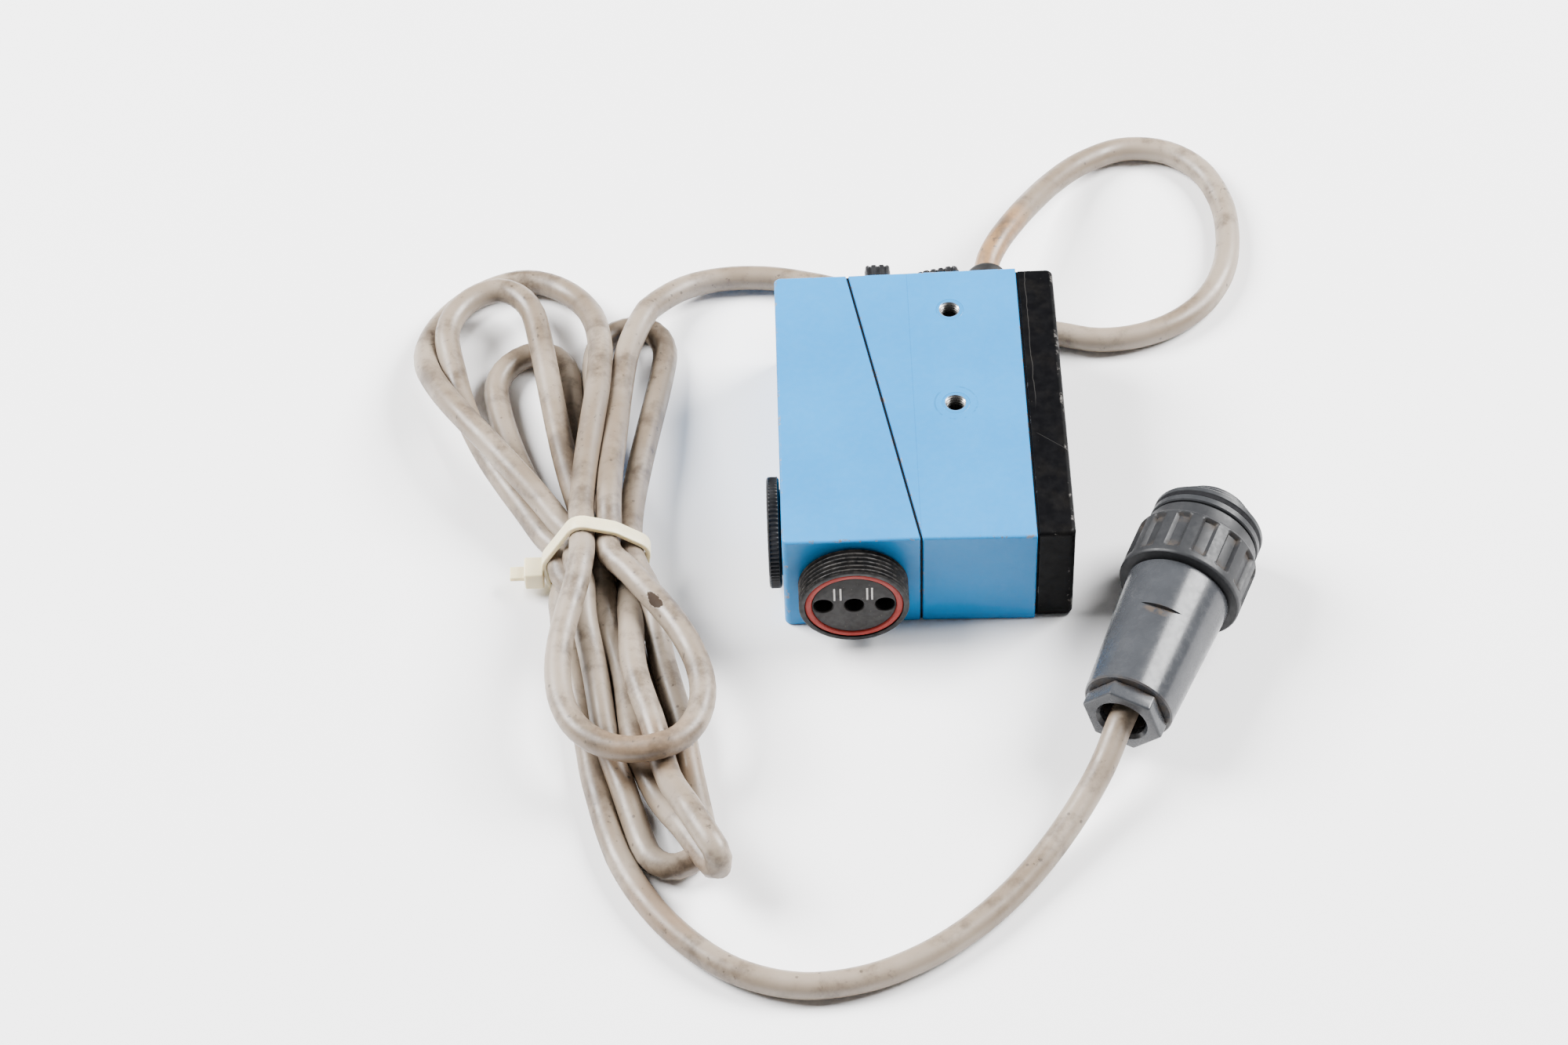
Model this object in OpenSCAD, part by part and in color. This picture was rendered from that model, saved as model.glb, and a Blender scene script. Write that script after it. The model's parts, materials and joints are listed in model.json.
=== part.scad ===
// Photoelectric contrast sensor: a flat die-cast housing in two halves with a black side cover,
// a threaded optical head on the front, a blanked optical port on the left, two setting knobs
// and a rubber cable boot on the back, and 2 m of cable tied in a hank with a round plug on its end.
//
// Frame: +X to the right, +Y to the back, +Z up, the sensor lying on its large face. The origin
// is the bottom centre of the box round the sensor itself, cable and plug left out.
// "Corner" places below are measured from the housing's front left bottom corner.

/* [Housing] */
// Width of the housing with its side cover
body_w = 66; // [60:0.5:72]
// Depth of the housing, front face to back face
body_d = 81; // [78:0.5:90]
// Height of the housing as it lies on its large face
body_h = 30; // [30:0.5:34]
// Thickness of the side cover
cover_w = 8.7; // [7:0.1:10]
// Distance of the parting line from the left face, at the front
part_front_x = 31.4; // [30:0.2:34]
// Distance of the parting line from the left face, at the back
part_back_x = 17.3; // [17:0.2:18.4]
// Gap of the parting line, filled by its gasket
part_gap = 0.8; // [0.6:0.1:1]
// Widening of each side of the electronics housing, from parting line to cover
flare = 0.6; // [0:0.1:1]
// Wall thickness of the castings
wall = 2; // [1.6:0.1:2.4]
// Radius of the upright corners
corner_r = 1.5; // [0.8:0.1:2]

/* [Optical head] */
// Centre of the head from the left face
head_x = 15.8; // [15:0.1:16.5]
// Outer radius of the head's coupling thread
head_r = 12.5; // [12:0.1:13]
// How far the head stands out of the front face
head_out = 7; // [6:0.1:9]
// Radius of the fibre bores
fibre_r = 2.25; // [1.5:0.05:2.4]
// Spacing of the fibre bores
fibre_pitch = 7; // [6.8:0.1:7.2]

/* [Blanking cap] */
// Centre of the side port from the front face
cap_y = 15.4; // [15:0.1:16]
// Radius of the cap's knurled rim
cap_r = 12.8; // [12:0.1:13.5]
// How far the cap stands out of the left face
cap_out = 3.2; // [2.6:0.1:4]

/* [Knobs] */
// Centre of the sensitivity knob from the left face
knob_1_x = 24.9; // [24:0.1:26]
// Centre of the mode knob from the left face
knob_2_x = 39.8; // [38:0.1:41]
// Length of a knob's grip bar
bar_l = 10.6; // [9:0.1:11]
// Width of a knob's grip bar
bar_w = 6.3; // [5:0.1:7]
// How far a knob stands out of the back face
knob_out = 12; // [9:0.1:12]
// Resting angle of the mode knob's bar from upright
knob_2_turn = 78; // [0:1:90]

/* [Mounting threads] */
// Distance of the mounting threads from the left face
thread_x = 41.1; // [40:0.1:42]
// Distance of the front mounting thread from the front face
thread_front_y = 39.8; // [36:0.1:42]
// Spacing of the two mounting threads
thread_pitch = 29; // [27:0.5:29]
// Core radius of a mounting thread, M5
thread_r = 2.1; // [2:0.05:2.2]

/* [Cable and plug] */
// Diameter of the cable
cable_d = 6; // [5:0.1:6.4]
// Centre of the cable boot from the left face
boot_x = 51.2; // [50:0.1:51.4]
// How far the boot stands out of the back face
boot_out = 11.6; // [10:0.1:12]
// Overall length of the plug
plug_l = 64.5; // [62:0.5:70]
// Outer radius of the plug's coupling ring
ring_r = 14.25; // [14:0.05:14.5]
// Heading of the plug, to the right of +Y
plug_turn = 24; // [0:1:45]

/* [Hidden] */
$fn = 48;
eps = 0.01;
mid_z = body_h / 2;
seam_x = body_w - cover_w;
part_turn = atan((part_front_x - part_back_x) / body_d);
back_y = body_d + flare;
frame_x = (body_w - cap_out) / 2;
frame_y = (back_y + boot_out - head_out) / 2;
cable_r = cable_d / 2;

// Fits and clearances
fit_gap = 0.05;
move_gap = 0.3;
seam_gap = 0.4;
gasket_inset = 0.5;
gasket_rim = 4;
cover_rim = 2;

// Optical head, front to back along its axis
seal_inner_r = 9.55;
seal_outer_r = 11.2;
seal_t = 2;
seal_back = 0.2;
plate_back = 0.5;
plate_t = 4;
neck_r = 11;
neck_l = 7;
nut_t = 2.4;
nut_r = 12.2;
sleeve_outer_r = 2.45;
sleeve_inner_r = 2;
optic_board_y = 12;
board_t = 1.6;
lamp_r = 1.9;
lamp_l = 5;

// Main board
board_z = 6;
board_start = 11;
board_end = 70.5;
ribbon_y = 21.6;

// Blanking cap
spigot_r = 9.9;
spigot_l = 4;
cap_wall = 1.6;
oring_r = 0.8;
knurl_n = 60;
port_land = 26;

// Knobs, boot and plug
knob_flange_r = 5.6;
knob_flange_t = 2;
shaft_r = 1.5;
shaft_out = 8.6;
pot_size = 6.2;
switch_size = 9.4;
pot_l = 7;
pot_back = 0.7;
bar_rib = 0.5;
boot_base_r = 5.2;
boot_tip_r = 4;
boot_neck_r = 4.4;
insert_r = 3.25;
insert_l = 7;
screw_r = 1.5;
screw_head_r = 2.75;
boss_r = 3.6;
lens_r = 1.45;
lens_x = 45.6;
lens_z = 24;
plug_z = ring_r + 0.15;
nut_flats = 16.3;
nut_l = 4;
plug_rear_r = 10.2;
plug_front_r = 12;
ring_start = 38.3;
ring_end = 55;
flange_r = 13;
journal_r = 10;
flute_n = 14;
flute_start = 1.7;
flute_l = 10.5;
nut_bore_r = 5.35;
clamp_r = 7.9;
clamp_l = 8;
plug_core_r = 8.3;
plug_tip_r = 10.6;
contact_n = 5;
contact_r = 1.15;
contact_circle_r = 4.4;

// Route of the cable from the boot to the hank, and from the hank to the plug
LEAD_IN = [
    [19.8, 50.1, 15], [20.4, 54, 15.4], [23, 60, 15.6], [27, 67.5, 14.4], [32, 76.5, 11.8],
    [38.5, 87, 8.2], [47, 97, 4.8], [57.5, 102.8, 3.2], [68, 101.5, 3.1], [76, 95, 3.1],
    [80.5, 84, 3.1], [81.2, 72, 3.1], [79, 60, 3.1], [73.5, 50, 3.1], [65, 42.8, 3.1],
    [55.5, 39.2, 3.1], [46, 38.6, 3.1], [37, 41, 3.1], [26, 43.5, 3.1], [13, 47.5, 3.1],
    [0, 52, 3.1], [-12, 56.5, 3.1], [-22, 60, 3.1], [-33, 62.5, 3.1], [-44, 62.5, 3.1],
    [-53, 59.5, 3.6], [-60, 53, 5], [-64.5, 45, 7]
];
LEAD_OUT = [
    [-75.6, -64, 3.1], [-74.4, -78, 3.1], [-72.6, -90, 3.1], [-69.9, -102, 3.1],
    [-64.4, -116, 3.1], [-56, -128, 3.1], [-44.6, -137.5, 3.1], [-31, -142, 3.1],
    [-17, -141, 3.1], [-4, -136, 3.1],
    [8, -128, 3.1], [18.5, -118, 3.6], [27, -108, 5.5], [34.5, -97.5, 8.5], [38.4, -91, 11.2],
    [41.2, -85, 13.4], [43.4, -80.5, 14.3]
];

// Tied waist of the hank and the centres and radii of its loops, in plan
TIE = [-74.5, -28.5];
HANK_BACK = [[-96, 44, 23.5], [-66, 41, 10]];
HANK_FRONT = [[-66, -69, 18.5], [-54, -105, 9.5]];
hank_h = 17;
waist_w = 18;
waist_h = 18;
tie_t = 1.2;
tie_w = 3.6;
plug_face = [42, -84];

// Distance of the parting line from the left face at depth y
function part_x(y) = part_front_x + (part_back_x - part_front_x) * y / body_d;

// Outline points of a rounded corner at p, turning from angle a to a + 90 degrees
function corner(p, a, r) = [for (i = [0:4]) p + r * [cos(a + 22.5 * i), sin(a + 22.5 * i)]];

// Places children given in corner dimensions
module from_corner() {
    translate([-frame_x, -frame_y, 0]) children();
}

// Places children, drawn along +Z, on the head's axis with +Z pointing out of the front face
module on_head() {
    from_corner() translate([head_x, 0, mid_z]) rotate([90, 0, 0]) children();
}

// Places children, drawn along +Z, on the side port's axis with +Z pointing out of the left face
module on_port() {
    from_corner() translate([0, cap_y, mid_z]) rotate([0, -90, 0]) children();
}

// Places children, drawn along +Z, at x on the back face with +Z pointing out of it
module on_back(x) {
    from_corner() translate([x, back_y, mid_z]) rotate([-90, 0, 0]) children();
}

// Places children, drawn along +Z, on the plug's axis with +Z pointing to its mating face
module on_plug() {
    translate([plug_face[0], plug_face[1], plug_z]) rotate([0, 0, -plug_turn]) rotate([-90, 0, 0])
        children();
}

// Places children at depth y on the parting line, drawn along +Z into the electronics housing
module on_parting(y, z) {
    from_corner() translate([part_x(y), y, z]) rotate([0, 0, part_turn]) rotate([0, 90, 0])
        children();
}

// Cylinder between two places on an axis
module cylinder_from(start, end, r) {
    translate([0, 0, start]) cylinder(r = r, h = end - start);
}

module tube(outer_r, inner_r, h) {
    difference() {
        cylinder(r = outer_r, h = h);
        translate([0, 0, -1]) cylinder(r = inner_r, h = h + 2);
    }
}

// Places of the screws: y, z on the parting line, and y, z on the cover
PART_SCREWS = [[36, 5.2], [36, 24.8], [74, 5.2], [74, 24.8]];
COVER_SCREWS = [[6, 6], [6, 24], [75, 6], [75, 24]];

// Solid of the optics housing, inset d from its outer faces and reaching over the parting line
module optics_block(d, over) {
    edge = over - part_gap / 2;
    translate([0, 0, d]) linear_extrude(body_h - 2 * d) polygon(concat(
        [[part_x(d) + edge, d], [part_x(body_d - d) + edge, body_d - d]],
        corner([corner_r + d, body_d - corner_r - d], 90, corner_r),
        corner([corner_r + d, corner_r + d], 180, corner_r)
    ));
}

module optics_housing() {
    color("deepskyblue") difference() {
        from_corner() optics_block(0, 0);
        from_corner() difference() {
            optics_block(wall, 2);
            translate([0, cap_y - port_land / 2, 0]) cube([wall + 1.4, port_land, body_h]);
            for (s = PART_SCREWS)
                translate([part_x(s[0]) - part_gap / 2 - 7, s[0] - 4, s[1] < mid_z ? 0 : s[1] - 3.2])
                    cube([8, 8, s[1] < mid_z ? s[1] + 3.2 : body_h]);
        }
        on_head() translate([0, 0, -wall - 1]) cylinder(r = neck_r + fit_gap, h = wall + 2);
        on_port() translate([0, 0, -wall - 4]) cylinder(r = spigot_r + fit_gap, h = wall + 6);
        for (s = PART_SCREWS)
            on_parting(s[0], s[1]) translate([0, 0, -7]) cylinder(r = screw_r + fit_gap, h = 8);
    }
}

// Solid of the electronics housing, inset d from its outer faces and reaching past the seam
module electronics_block(d, seam_in) {
    translate([0, 0, d]) linear_extrude(body_h - 2 * d) polygon([
        [part_x(d) + part_gap / 2 + d, d],
        [seam_x + seam_in, -flare + d],
        [seam_x + seam_in, body_d + flare - d],
        [part_x(body_d - d) + part_gap / 2 + d, body_d - d]
    ]);
}

module electronics_housing() {
    color("deepskyblue") difference() {
        from_corner() electronics_block(0, 0);
        from_corner() difference() {
            electronics_block(wall, 1);
            for (y = [thread_front_y, thread_front_y + thread_pitch])
                translate([thread_x, y, body_h - wall - insert_l - 1])
                    cylinder(r = insert_r + 1.4, h = insert_l + 2);
            for (s = COVER_SCREWS)
                translate([seam_x - 14, s[0] - 4, s[1] < mid_z ? 0 : s[1] - 4])
                    cube([16, 8, s[1] < mid_z ? s[1] + 4 : body_h]);
        }
        from_corner() for (y = [thread_front_y, thread_front_y + thread_pitch])
            translate([thread_x, y, body_h - insert_l]) cylinder(r = insert_r, h = insert_l + 1);
        for (x = [knob_1_x, knob_2_x])
            on_back(x) translate([0, 0, -wall - 2]) cylinder(r = shaft_r + 1.3, h = wall + 3);
        on_back(boot_x) translate([0, 0, -wall - 2]) cylinder(r = boot_neck_r, h = wall + 3);
        from_corner() translate([lens_x, body_d - 5, lens_z]) rotate([-90, 0, 0])
            cylinder(r = lens_r + fit_gap, h = 10);
        for (s = PART_SCREWS)
            on_parting(s[0], s[1]) cylinder(r = screw_r + 0.1, h = 5);
        from_corner() translate([part_x(ribbon_y) - 2, ribbon_y - 3.6, 8]) cube([8, 9, 8]);
        from_corner() for (s = COVER_SCREWS)
            translate([seam_x - 9, s[0], s[1]]) rotate([0, 90, 0])
                cylinder(r = screw_r + fit_gap, h = 12);
    }
}

module parting_gasket() {
    color("dimgray") from_corner() difference() {
        gasket_slab(gasket_inset);
        gasket_slab(gasket_inset + gasket_rim);
        for (s = PART_SCREWS)
            translate([part_x(s[0]), s[0], s[1]]) rotate([0, 0, part_turn]) rotate([0, 90, 0])
                translate([0, 0, -3]) cylinder(r = screw_r + 0.1, h = 6);
    }
}

// Upright slab along the parting line, inset d from the housing's outer faces
module gasket_slab(d) {
    over = d > 1 ? 1 : 0;
    translate([0, 0, d]) linear_extrude(body_h - 2 * d) polygon([
        [part_x(d) - part_gap / 2 - over, d],
        [part_x(d) + part_gap / 2 + over, d],
        [part_x(body_d - d) + part_gap / 2 + over, body_d - d],
        [part_x(body_d - d) - part_gap / 2 - over, body_d - d]
    ]);
}

// Plan of the side cover, inset d from its outer faces
module cover_plan(d) {
    polygon(concat(
        [[seam_x + seam_gap - (d > 0 ? 1 : 0), d + 0.1]],
        corner([body_w - d - corner_r, d + 0.1 + corner_r], 270, corner_r),
        corner([body_w - d - corner_r, body_d - 0.1 - d - corner_r], 0, corner_r),
        [[seam_x + seam_gap - (d > 0 ? 1 : 0), body_d - 0.1 - d]]
    ));
}

module side_cover() {
    color([0.1, 0.09, 0.09]) from_corner() difference() {
        linear_extrude(body_h) cover_plan(0);
        difference() {
            translate([0, 0, wall]) linear_extrude(body_h - 2 * wall) cover_plan(wall);
            for (s = COVER_SCREWS)
                translate([seam_x, s[0], s[1]]) rotate([0, 90, 0]) cylinder(r = boss_r, h = cover_w);
        }
        for (s = COVER_SCREWS) translate([seam_x - 1, s[0], s[1]]) rotate([0, 90, 0]) {
            cylinder(r = screw_r + 0.15, h = cover_w + 2);
            translate([0, 0, cover_w - 1]) cylinder(r = screw_head_r + 0.15, h = 4);
        }
    }
}

// Upright slab t thick behind the cover, inset d from the cover's outer faces
module cover_slab(d, t) {
    translate([0, d, d]) cube([t, body_d - 2 * d, body_h - 2 * d]);
}

module cover_gasket() {
    color("dimgray") from_corner() translate([seam_x, 0, 0]) difference() {
        cover_slab(gasket_inset, seam_gap);
        translate([-1, 0, 0]) cover_slab(gasket_inset + cover_rim, seam_gap + 2);
        for (s = COVER_SCREWS)
            translate([-1, s[0], s[1]]) rotate([0, 90, 0]) cylinder(r = screw_r + 0.1, h = 3);
    }
}

module cover_screws() {
    color("silver") from_corner() for (s = COVER_SCREWS)
        translate([body_w - 0.15, s[0], s[1]]) rotate([0, -90, 0]) difference() {
            union() {
                cylinder(r = screw_head_r, h = 1.8);
                cylinder(r = screw_r, h = cover_w + 7);
            }
            translate([0, 0, -1]) cylinder(r = 1.2, h = 2.1, $fn = 6);
        }
}

module housing_screws() {
    color("silver") for (s = PART_SCREWS) on_parting(s[0], s[1]) difference() {
        union() {
            translate([0, 0, -6]) cylinder(r = screw_r, h = 6 + part_gap / 2 + wall + 0.2);
            translate([0, 0, part_gap / 2 + wall + 0.1]) cylinder(r = screw_head_r, h = 1.8);
        }
        translate([0, 0, part_gap / 2 + wall + 1]) cylinder(r = 1.2, h = 2, $fn = 6);
    }
}

// Threaded insert at depth y, drawn with a plain bore of the thread's core radius
module thread_insert(y) {
    color("silver") from_corner() translate([thread_x, y, body_h - insert_l])
        tube(insert_r - 0.02, thread_r, insert_l);
}

module front_thread_insert() {
    thread_insert(thread_front_y);
}

module rear_thread_insert() {
    thread_insert(thread_front_y + thread_pitch);
}

module head_barrel() {
    color([0.13, 0.13, 0.14]) on_head() difference() {
        union() {
            cylinder(r = head_r, h = head_out);
            translate([0, 0, -neck_l]) cylinder(r = neck_r, h = neck_l + eps);
        }
        translate([0, 0, -neck_l - 1]) cylinder(r = seal_inner_r, h = neck_l + head_out + 2);
        translate([0, 0, head_out - seal_back - seal_t]) cylinder(r = seal_outer_r, h = seal_t + 1);
    }
}

module head_nut() {
    color("darkgray") on_head() translate([0, 0, -wall - 0.1 - nut_t])
        tube(nut_r, neck_r + fit_gap, nut_t);
}

module head_seal_ring() {
    color("firebrick") on_head() translate([0, 0, head_out - seal_back - seal_t])
        tube(seal_outer_r - 0.02, seal_inner_r, seal_t);
}

module fibre_face_plate() {
    color([0.27, 0.26, 0.26]) on_head() difference() {
        translate([0, 0, head_out - plate_back - plate_t]) cylinder(r = seal_inner_r - 0.05, h = plate_t);
        for (i = [-1:1]) translate([i * fibre_pitch, 0, 0]) cylinder(r = fibre_r, h = 2 * head_out);
    }
}

module fibre_sleeves() {
    color("black") on_head() for (i = [-1:1])
        translate([i * fibre_pitch, 0, 0.2 - optic_board_y])
            tube(sleeve_outer_r, sleeve_inner_r, optic_board_y + head_out - plate_back - plate_t - 0.3);
}

module optics_board() {
    color("darkgreen") from_corner() translate([5.2, optic_board_y, board_z])
        cube([21.4, board_t, body_h - 2 * board_z]);
}

// Light source or receiver i, seated on the optics board inside its sleeve
module emitter(i, c) {
    color(c) on_head() translate([i * fibre_pitch, 0, 0.1 - optic_board_y]) {
        cylinder(r = lamp_r, h = lamp_l);
        translate([0, 0, lamp_l]) cylinder(r1 = lamp_r, r2 = lamp_r / 2, h = 1.2);
    }
}

module red_led() {
    emitter(-1, "red");
}

module photodiode() {
    emitter(0, "slategray");
}

module infrared_led() {
    emitter(1, "indigo");
}

module board_ribbon() {
    color("gray") from_corner() translate([0, 0, 9]) linear_extrude(6) polygon([
        [head_x + 0.2, optic_board_y + board_t], [head_x + 0.8, optic_board_y + board_t],
        [head_x + 0.8, ribbon_y], [34, ribbon_y], [34, ribbon_y + 0.6], [head_x + 0.2, ribbon_y + 0.6]
    ]);
}

module blanking_cap() {
    color([0.1, 0.1, 0.1]) on_port() difference() {
        union() {
            translate([0, 0, move_gap]) cylinder(r = cap_r, h = cap_out - move_gap);
            translate([0, 0, -spigot_l]) cylinder(r = spigot_r, h = spigot_l + move_gap + eps);
        }
        translate([0, 0, -spigot_l - 1]) cylinder(r = spigot_r - cap_wall, h = spigot_l + 1);
        rotate_extrude() translate([spigot_r + oring_r - 1, -1.9]) circle(r = oring_r, $fn = 24);
        for (i = [0:knurl_n - 1]) rotate([0, 0, i * 360 / knurl_n])
            translate([cap_r - 0.25, -0.25, 0.7]) cube([1, 0.5, cap_out - 1.1]);
    }
}

module cap_oring() {
    color("saddlebrown") on_port() intersection() {
        rotate_extrude() translate([spigot_r + oring_r - 1, -1.9]) circle(r = oring_r - 0.1, $fn = 24);
        translate([0, 0, -4]) cylinder(r = spigot_r, h = 6);
    }
}

module main_board() {
    color("darkgreen") from_corner() translate([0, 0, board_z]) linear_extrude(board_t) difference() {
        polygon([
            [part_x(6) + 6.5, board_start], [seam_x - 2, board_start],
            [seam_x - 2, board_end], [part_x(board_end) + 6.5, board_end]
        ]);
        translate([part_x(PART_SCREWS[0][0]) + 5, PART_SCREWS[0][0]]) square([8, 9], center = true);
    }
}

// Blocks on the main board: x, y, width, depth, height
PARTS = [
    [46, 24, 9, 13, 3], [37, 27, 6, 6, 2], [49, 44, 6, 9, 6], [34, 46, 8, 5, 2.5],
    [46, 60, 7, 4, 8], [36, 15, 5, 4, 4]
];
CANS = [[52, 55, 2.5, 8], [33, 57, 3, 9]];

module board_components() {
    color([0.15, 0.15, 0.15]) from_corner() translate([0, 0, board_z + board_t]) {
        for (p = PARTS) translate([p[0], p[1], 0]) translate([-p[2] / 2, -p[3] / 2, 0])
            cube([p[2], p[3], p[4]]);
        for (c = CANS) translate([c[0], c[1], 0]) cylinder(r = c[2], h = c[3]);
    }
}

// Square body of a rotary setting part behind the back wall, with a bore for its shaft
module setting_body(x, size) {
    on_back(x) difference() {
        translate([-size / 2, -size / 2, -wall - pot_back - pot_l]) cube([size, size, pot_l]);
        translate([0, 0, -wall - 2 - pot_l]) cylinder(r = shaft_r + fit_gap, h = pot_l + 3);
    }
}

module sensitivity_potentiometer() {
    color("royalblue") setting_body(knob_1_x, pot_size);
}

module mode_switch() {
    color("darkslategray") setting_body(knob_2_x, switch_size);
}

module setting_shaft(x) {
    color("silver") on_back(x) cylinder_from(-wall - pot_l - pot_back, shaft_out, shaft_r);
}

module sensitivity_shaft() {
    setting_shaft(knob_1_x);
}

module mode_shaft() {
    setting_shaft(knob_2_x);
}

// Knob with a round flange and a ribbed grip bar, its bar turned from upright
module knob(x, turn) {
    grip_h = knob_out - move_gap - knob_flange_t;
    color([0.12, 0.12, 0.13]) on_back(x) rotate([0, 0, turn]) difference() {
        union() {
            translate([0, 0, move_gap]) cylinder(r = knob_flange_r, h = knob_flange_t);
            translate([0, 0, move_gap + knob_flange_t - eps]) intersection() {
                translate([-bar_w / 2, -bar_l / 2, 0]) cube([bar_w, bar_l, grip_h]);
                cylinder(r = knob_flange_r - 0.1, h = grip_h);
            }
        }
        for (side = [-1, 1], i = [-3:3])
            translate([side * bar_w / 2 - bar_rib / 2, i * 1.35 - 0.3, move_gap + knob_flange_t])
                cube([bar_rib, 0.6, grip_h + 1]);
        cylinder_from(-1, shaft_out, shaft_r);
    }
}

module sensitivity_knob() {
    knob(knob_1_x, 0);
}

module mode_knob() {
    knob(knob_2_x, knob_2_turn);
}

module shaft_seals() {
    color("black") for (x = [knob_1_x, knob_2_x])
        on_back(x) translate([0, 0, -wall]) tube(shaft_r + 1.25, shaft_r + fit_gap, 1.6);
}

module status_lens() {
    color("gold") from_corner() translate([lens_x, body_d - wall - 1, lens_z]) rotate([-90, 0, 0])
        cylinder(r = lens_r, h = wall + 1.6);
}

module cable_boot() {
    color([0.08, 0.08, 0.08]) on_back(boot_x) {
        rotate_extrude() polygon([
            [0, 0], [boot_base_r, 0], [boot_base_r, 2], [boot_base_r - 0.6, 3],
            [boot_tip_r + 0.2, boot_out - 2.4], [boot_tip_r - 0.3, boot_out - 0.8],
            [cable_r, boot_out], [0, boot_out]
        ]);
        translate([0, 0, -wall - 2.4]) cylinder(r = boot_neck_r - fit_gap, h = wall + 2.4 + eps);
    }
}

module cable_clamp() {
    color("silver") on_back(boot_x) translate([0, 0, -wall - 5.6]) difference() {
        tube(boot_neck_r, cable_r, 3);
        translate([0, 0, -1]) translate([-0.6, 0, 0]) cube([1.2, 6, 6]);
    }
}

module cable_cores() {
    color("sienna") for (i = [0:3])
        on_back(boot_x) translate([1.3 * cos(90 * i), 1.3 * sin(90 * i), -wall - 12])
            cylinder(r = 0.6, h = 9.4);
}

// Unit vector of v
function unit(v) = v / norm(v);

// Direction of a route at its point i
function heading(route, i) = unit(
    route[min(i + 1, len(route) - 1)] - route[max(i - 1, 0)]
);

// Ring of points round a route's point i, its first point lowest
function ring(route, i, r, sides) =
    let (
        along = heading(route, i),
        across = unit(cross(along, [0, 0, 1])),
        up = cross(across, along)
    )
    [for (k = [0:sides - 1])
        route[i] + r * (across * sin(k * 360 / sides) - up * cos(k * 360 / sides))];

// Round tube along a route, one ring at each of its points
module route_tube(route, r, sides = 8) {
    last = len(route) - 1;
    points = [for (i = [0:last]) each ring(route, i, r, sides)];
    walls = [for (i = [0:last - 1], k = [0:sides - 1])
        let (next = (k + 1) % sides, a = i * sides, b = a + sides)
        [a + k, a + next, b + next, b + k]];
    first_end = [for (k = [0:sides - 1]) sides - 1 - k];
    last_end = [for (k = [0:sides - 1]) last * sides + k];
    polyhedron(points, concat(walls, [first_end, last_end]), convexity = 6);
}

module cable_lead_in() {
    color([0.75, 0.72, 0.68]) route_tube(LEAD_IN, cable_r);
}

module cable_lead_out() {
    color([0.75, 0.72, 0.68]) route_tube(LEAD_OUT, cable_r);
}

// Plan of one end of the hank: its loops drawn together to the tied waist
module hank_plan(loops) {
    hull() {
        translate(TIE) circle(r = waist_w / 2 - 1);
        for (c = loops) translate([c[0], c[1]]) circle(r = c[2]);
    }
}

module cable_hank() {
    color([0.75, 0.72, 0.68]) {
        linear_extrude(hank_h) union() {
            hank_plan(HANK_BACK);
            hank_plan(HANK_FRONT);
        }
        translate([TIE[0] - waist_w / 2 + 1, TIE[1] - 10, tie_t])
            cube([waist_w - 2, 20, waist_h - 1]);
    }
}

module cable_tie() {
    outer_w = waist_w + 2 * tie_t;
    outer_h = waist_h + 2 * tie_t;
    color("ivory") translate([TIE[0], TIE[1], 0]) {
        difference() {
            translate([-outer_w / 2, -tie_w / 2, 0]) cube([outer_w, tie_w, outer_h]);
            translate([-waist_w / 2, -tie_w, tie_t]) cube([waist_w, 2 * tie_w, waist_h]);
        }
        translate([-outer_w / 2 - 4, -tie_w / 2 - 0.9, 2]) cube([4 + eps, tie_w + 1.8, 5.4]);
    }
}

module plug_clamp_nut() {
    color([0.38, 0.4, 0.42]) on_plug() difference() {
        union() {
            cylinder(r = nut_flats / 2 / cos(30), h = nut_l, $fn = 6);
            translate([0, 0, nut_l - eps]) cylinder(r = clamp_r, h = clamp_l);
        }
        translate([0, 0, -1]) cylinder(r = nut_bore_r, h = 20);
    }
}

module plug_clamp_seal() {
    color("black") on_plug() translate([0, 0, nut_l + clamp_l + 0.2])
        tube(clamp_r - 0.5, cable_r, 8);
}

module plug_body() {
    color([0.38, 0.4, 0.42]) on_plug() difference() {
        union() {
            translate([0, 0, nut_l + 0.1])
                cylinder(r1 = plug_rear_r, r2 = plug_front_r, h = ring_start - nut_l - 0.4);
            cylinder_from(nut_l + 1, ring_end + 0.3, journal_r);
        }
        cylinder_from(nut_l - 1, nut_l + 17, clamp_r + 0.1);
        cylinder_from(nut_l + 16, ring_end + 2, plug_core_r + 0.1);
    }
}

module plug_coupling_ring() {
    color([0.4, 0.42, 0.44]) on_plug() difference() {
        union() {
            cylinder_from(ring_start, ring_end - 4, ring_r);
            cylinder_from(ring_end - 4 - eps, ring_end, ring_r - 1.4);
        }
        cylinder_from(ring_start - 1, ring_end + 1, journal_r + 0.08);
        for (i = [0:flute_n - 1]) rotate([0, 0, i * 360 / flute_n])
            translate([ring_r - 0.9, -1.7, ring_start + flute_start]) cube([3, 3.4, flute_l]);
    }
}

module plug_insert() {
    color([0.3, 0.31, 0.33]) on_plug() difference() {
        union() {
            cylinder_from(ring_end + 0.35, ring_end + 4.6, flange_r);
            cylinder_from(ring_end - 14, plug_l, plug_core_r);
            cylinder_from(ring_end + 4.5, plug_l - 2.4, plug_tip_r);
        }
        rotate_extrude() translate([flange_r - 0.7, ring_end + 2]) square([2, 1.2]);
        for (i = [0:contact_n - 1]) rotate([0, 0, i * 360 / contact_n])
            translate([contact_circle_r, 0, ring_end - 20])
                cylinder(r = contact_r + 0.05, h = 40, $fn = 24);
    }
}

module plug_contacts() {
    color("gold") on_plug() for (i = [0:contact_n - 1]) rotate([0, 0, i * 360 / contact_n])
        translate([contact_circle_r, 0, ring_end - 17])
            cylinder(r = contact_r, h = plug_l - ring_end + 16, $fn = 24);
}

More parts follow.
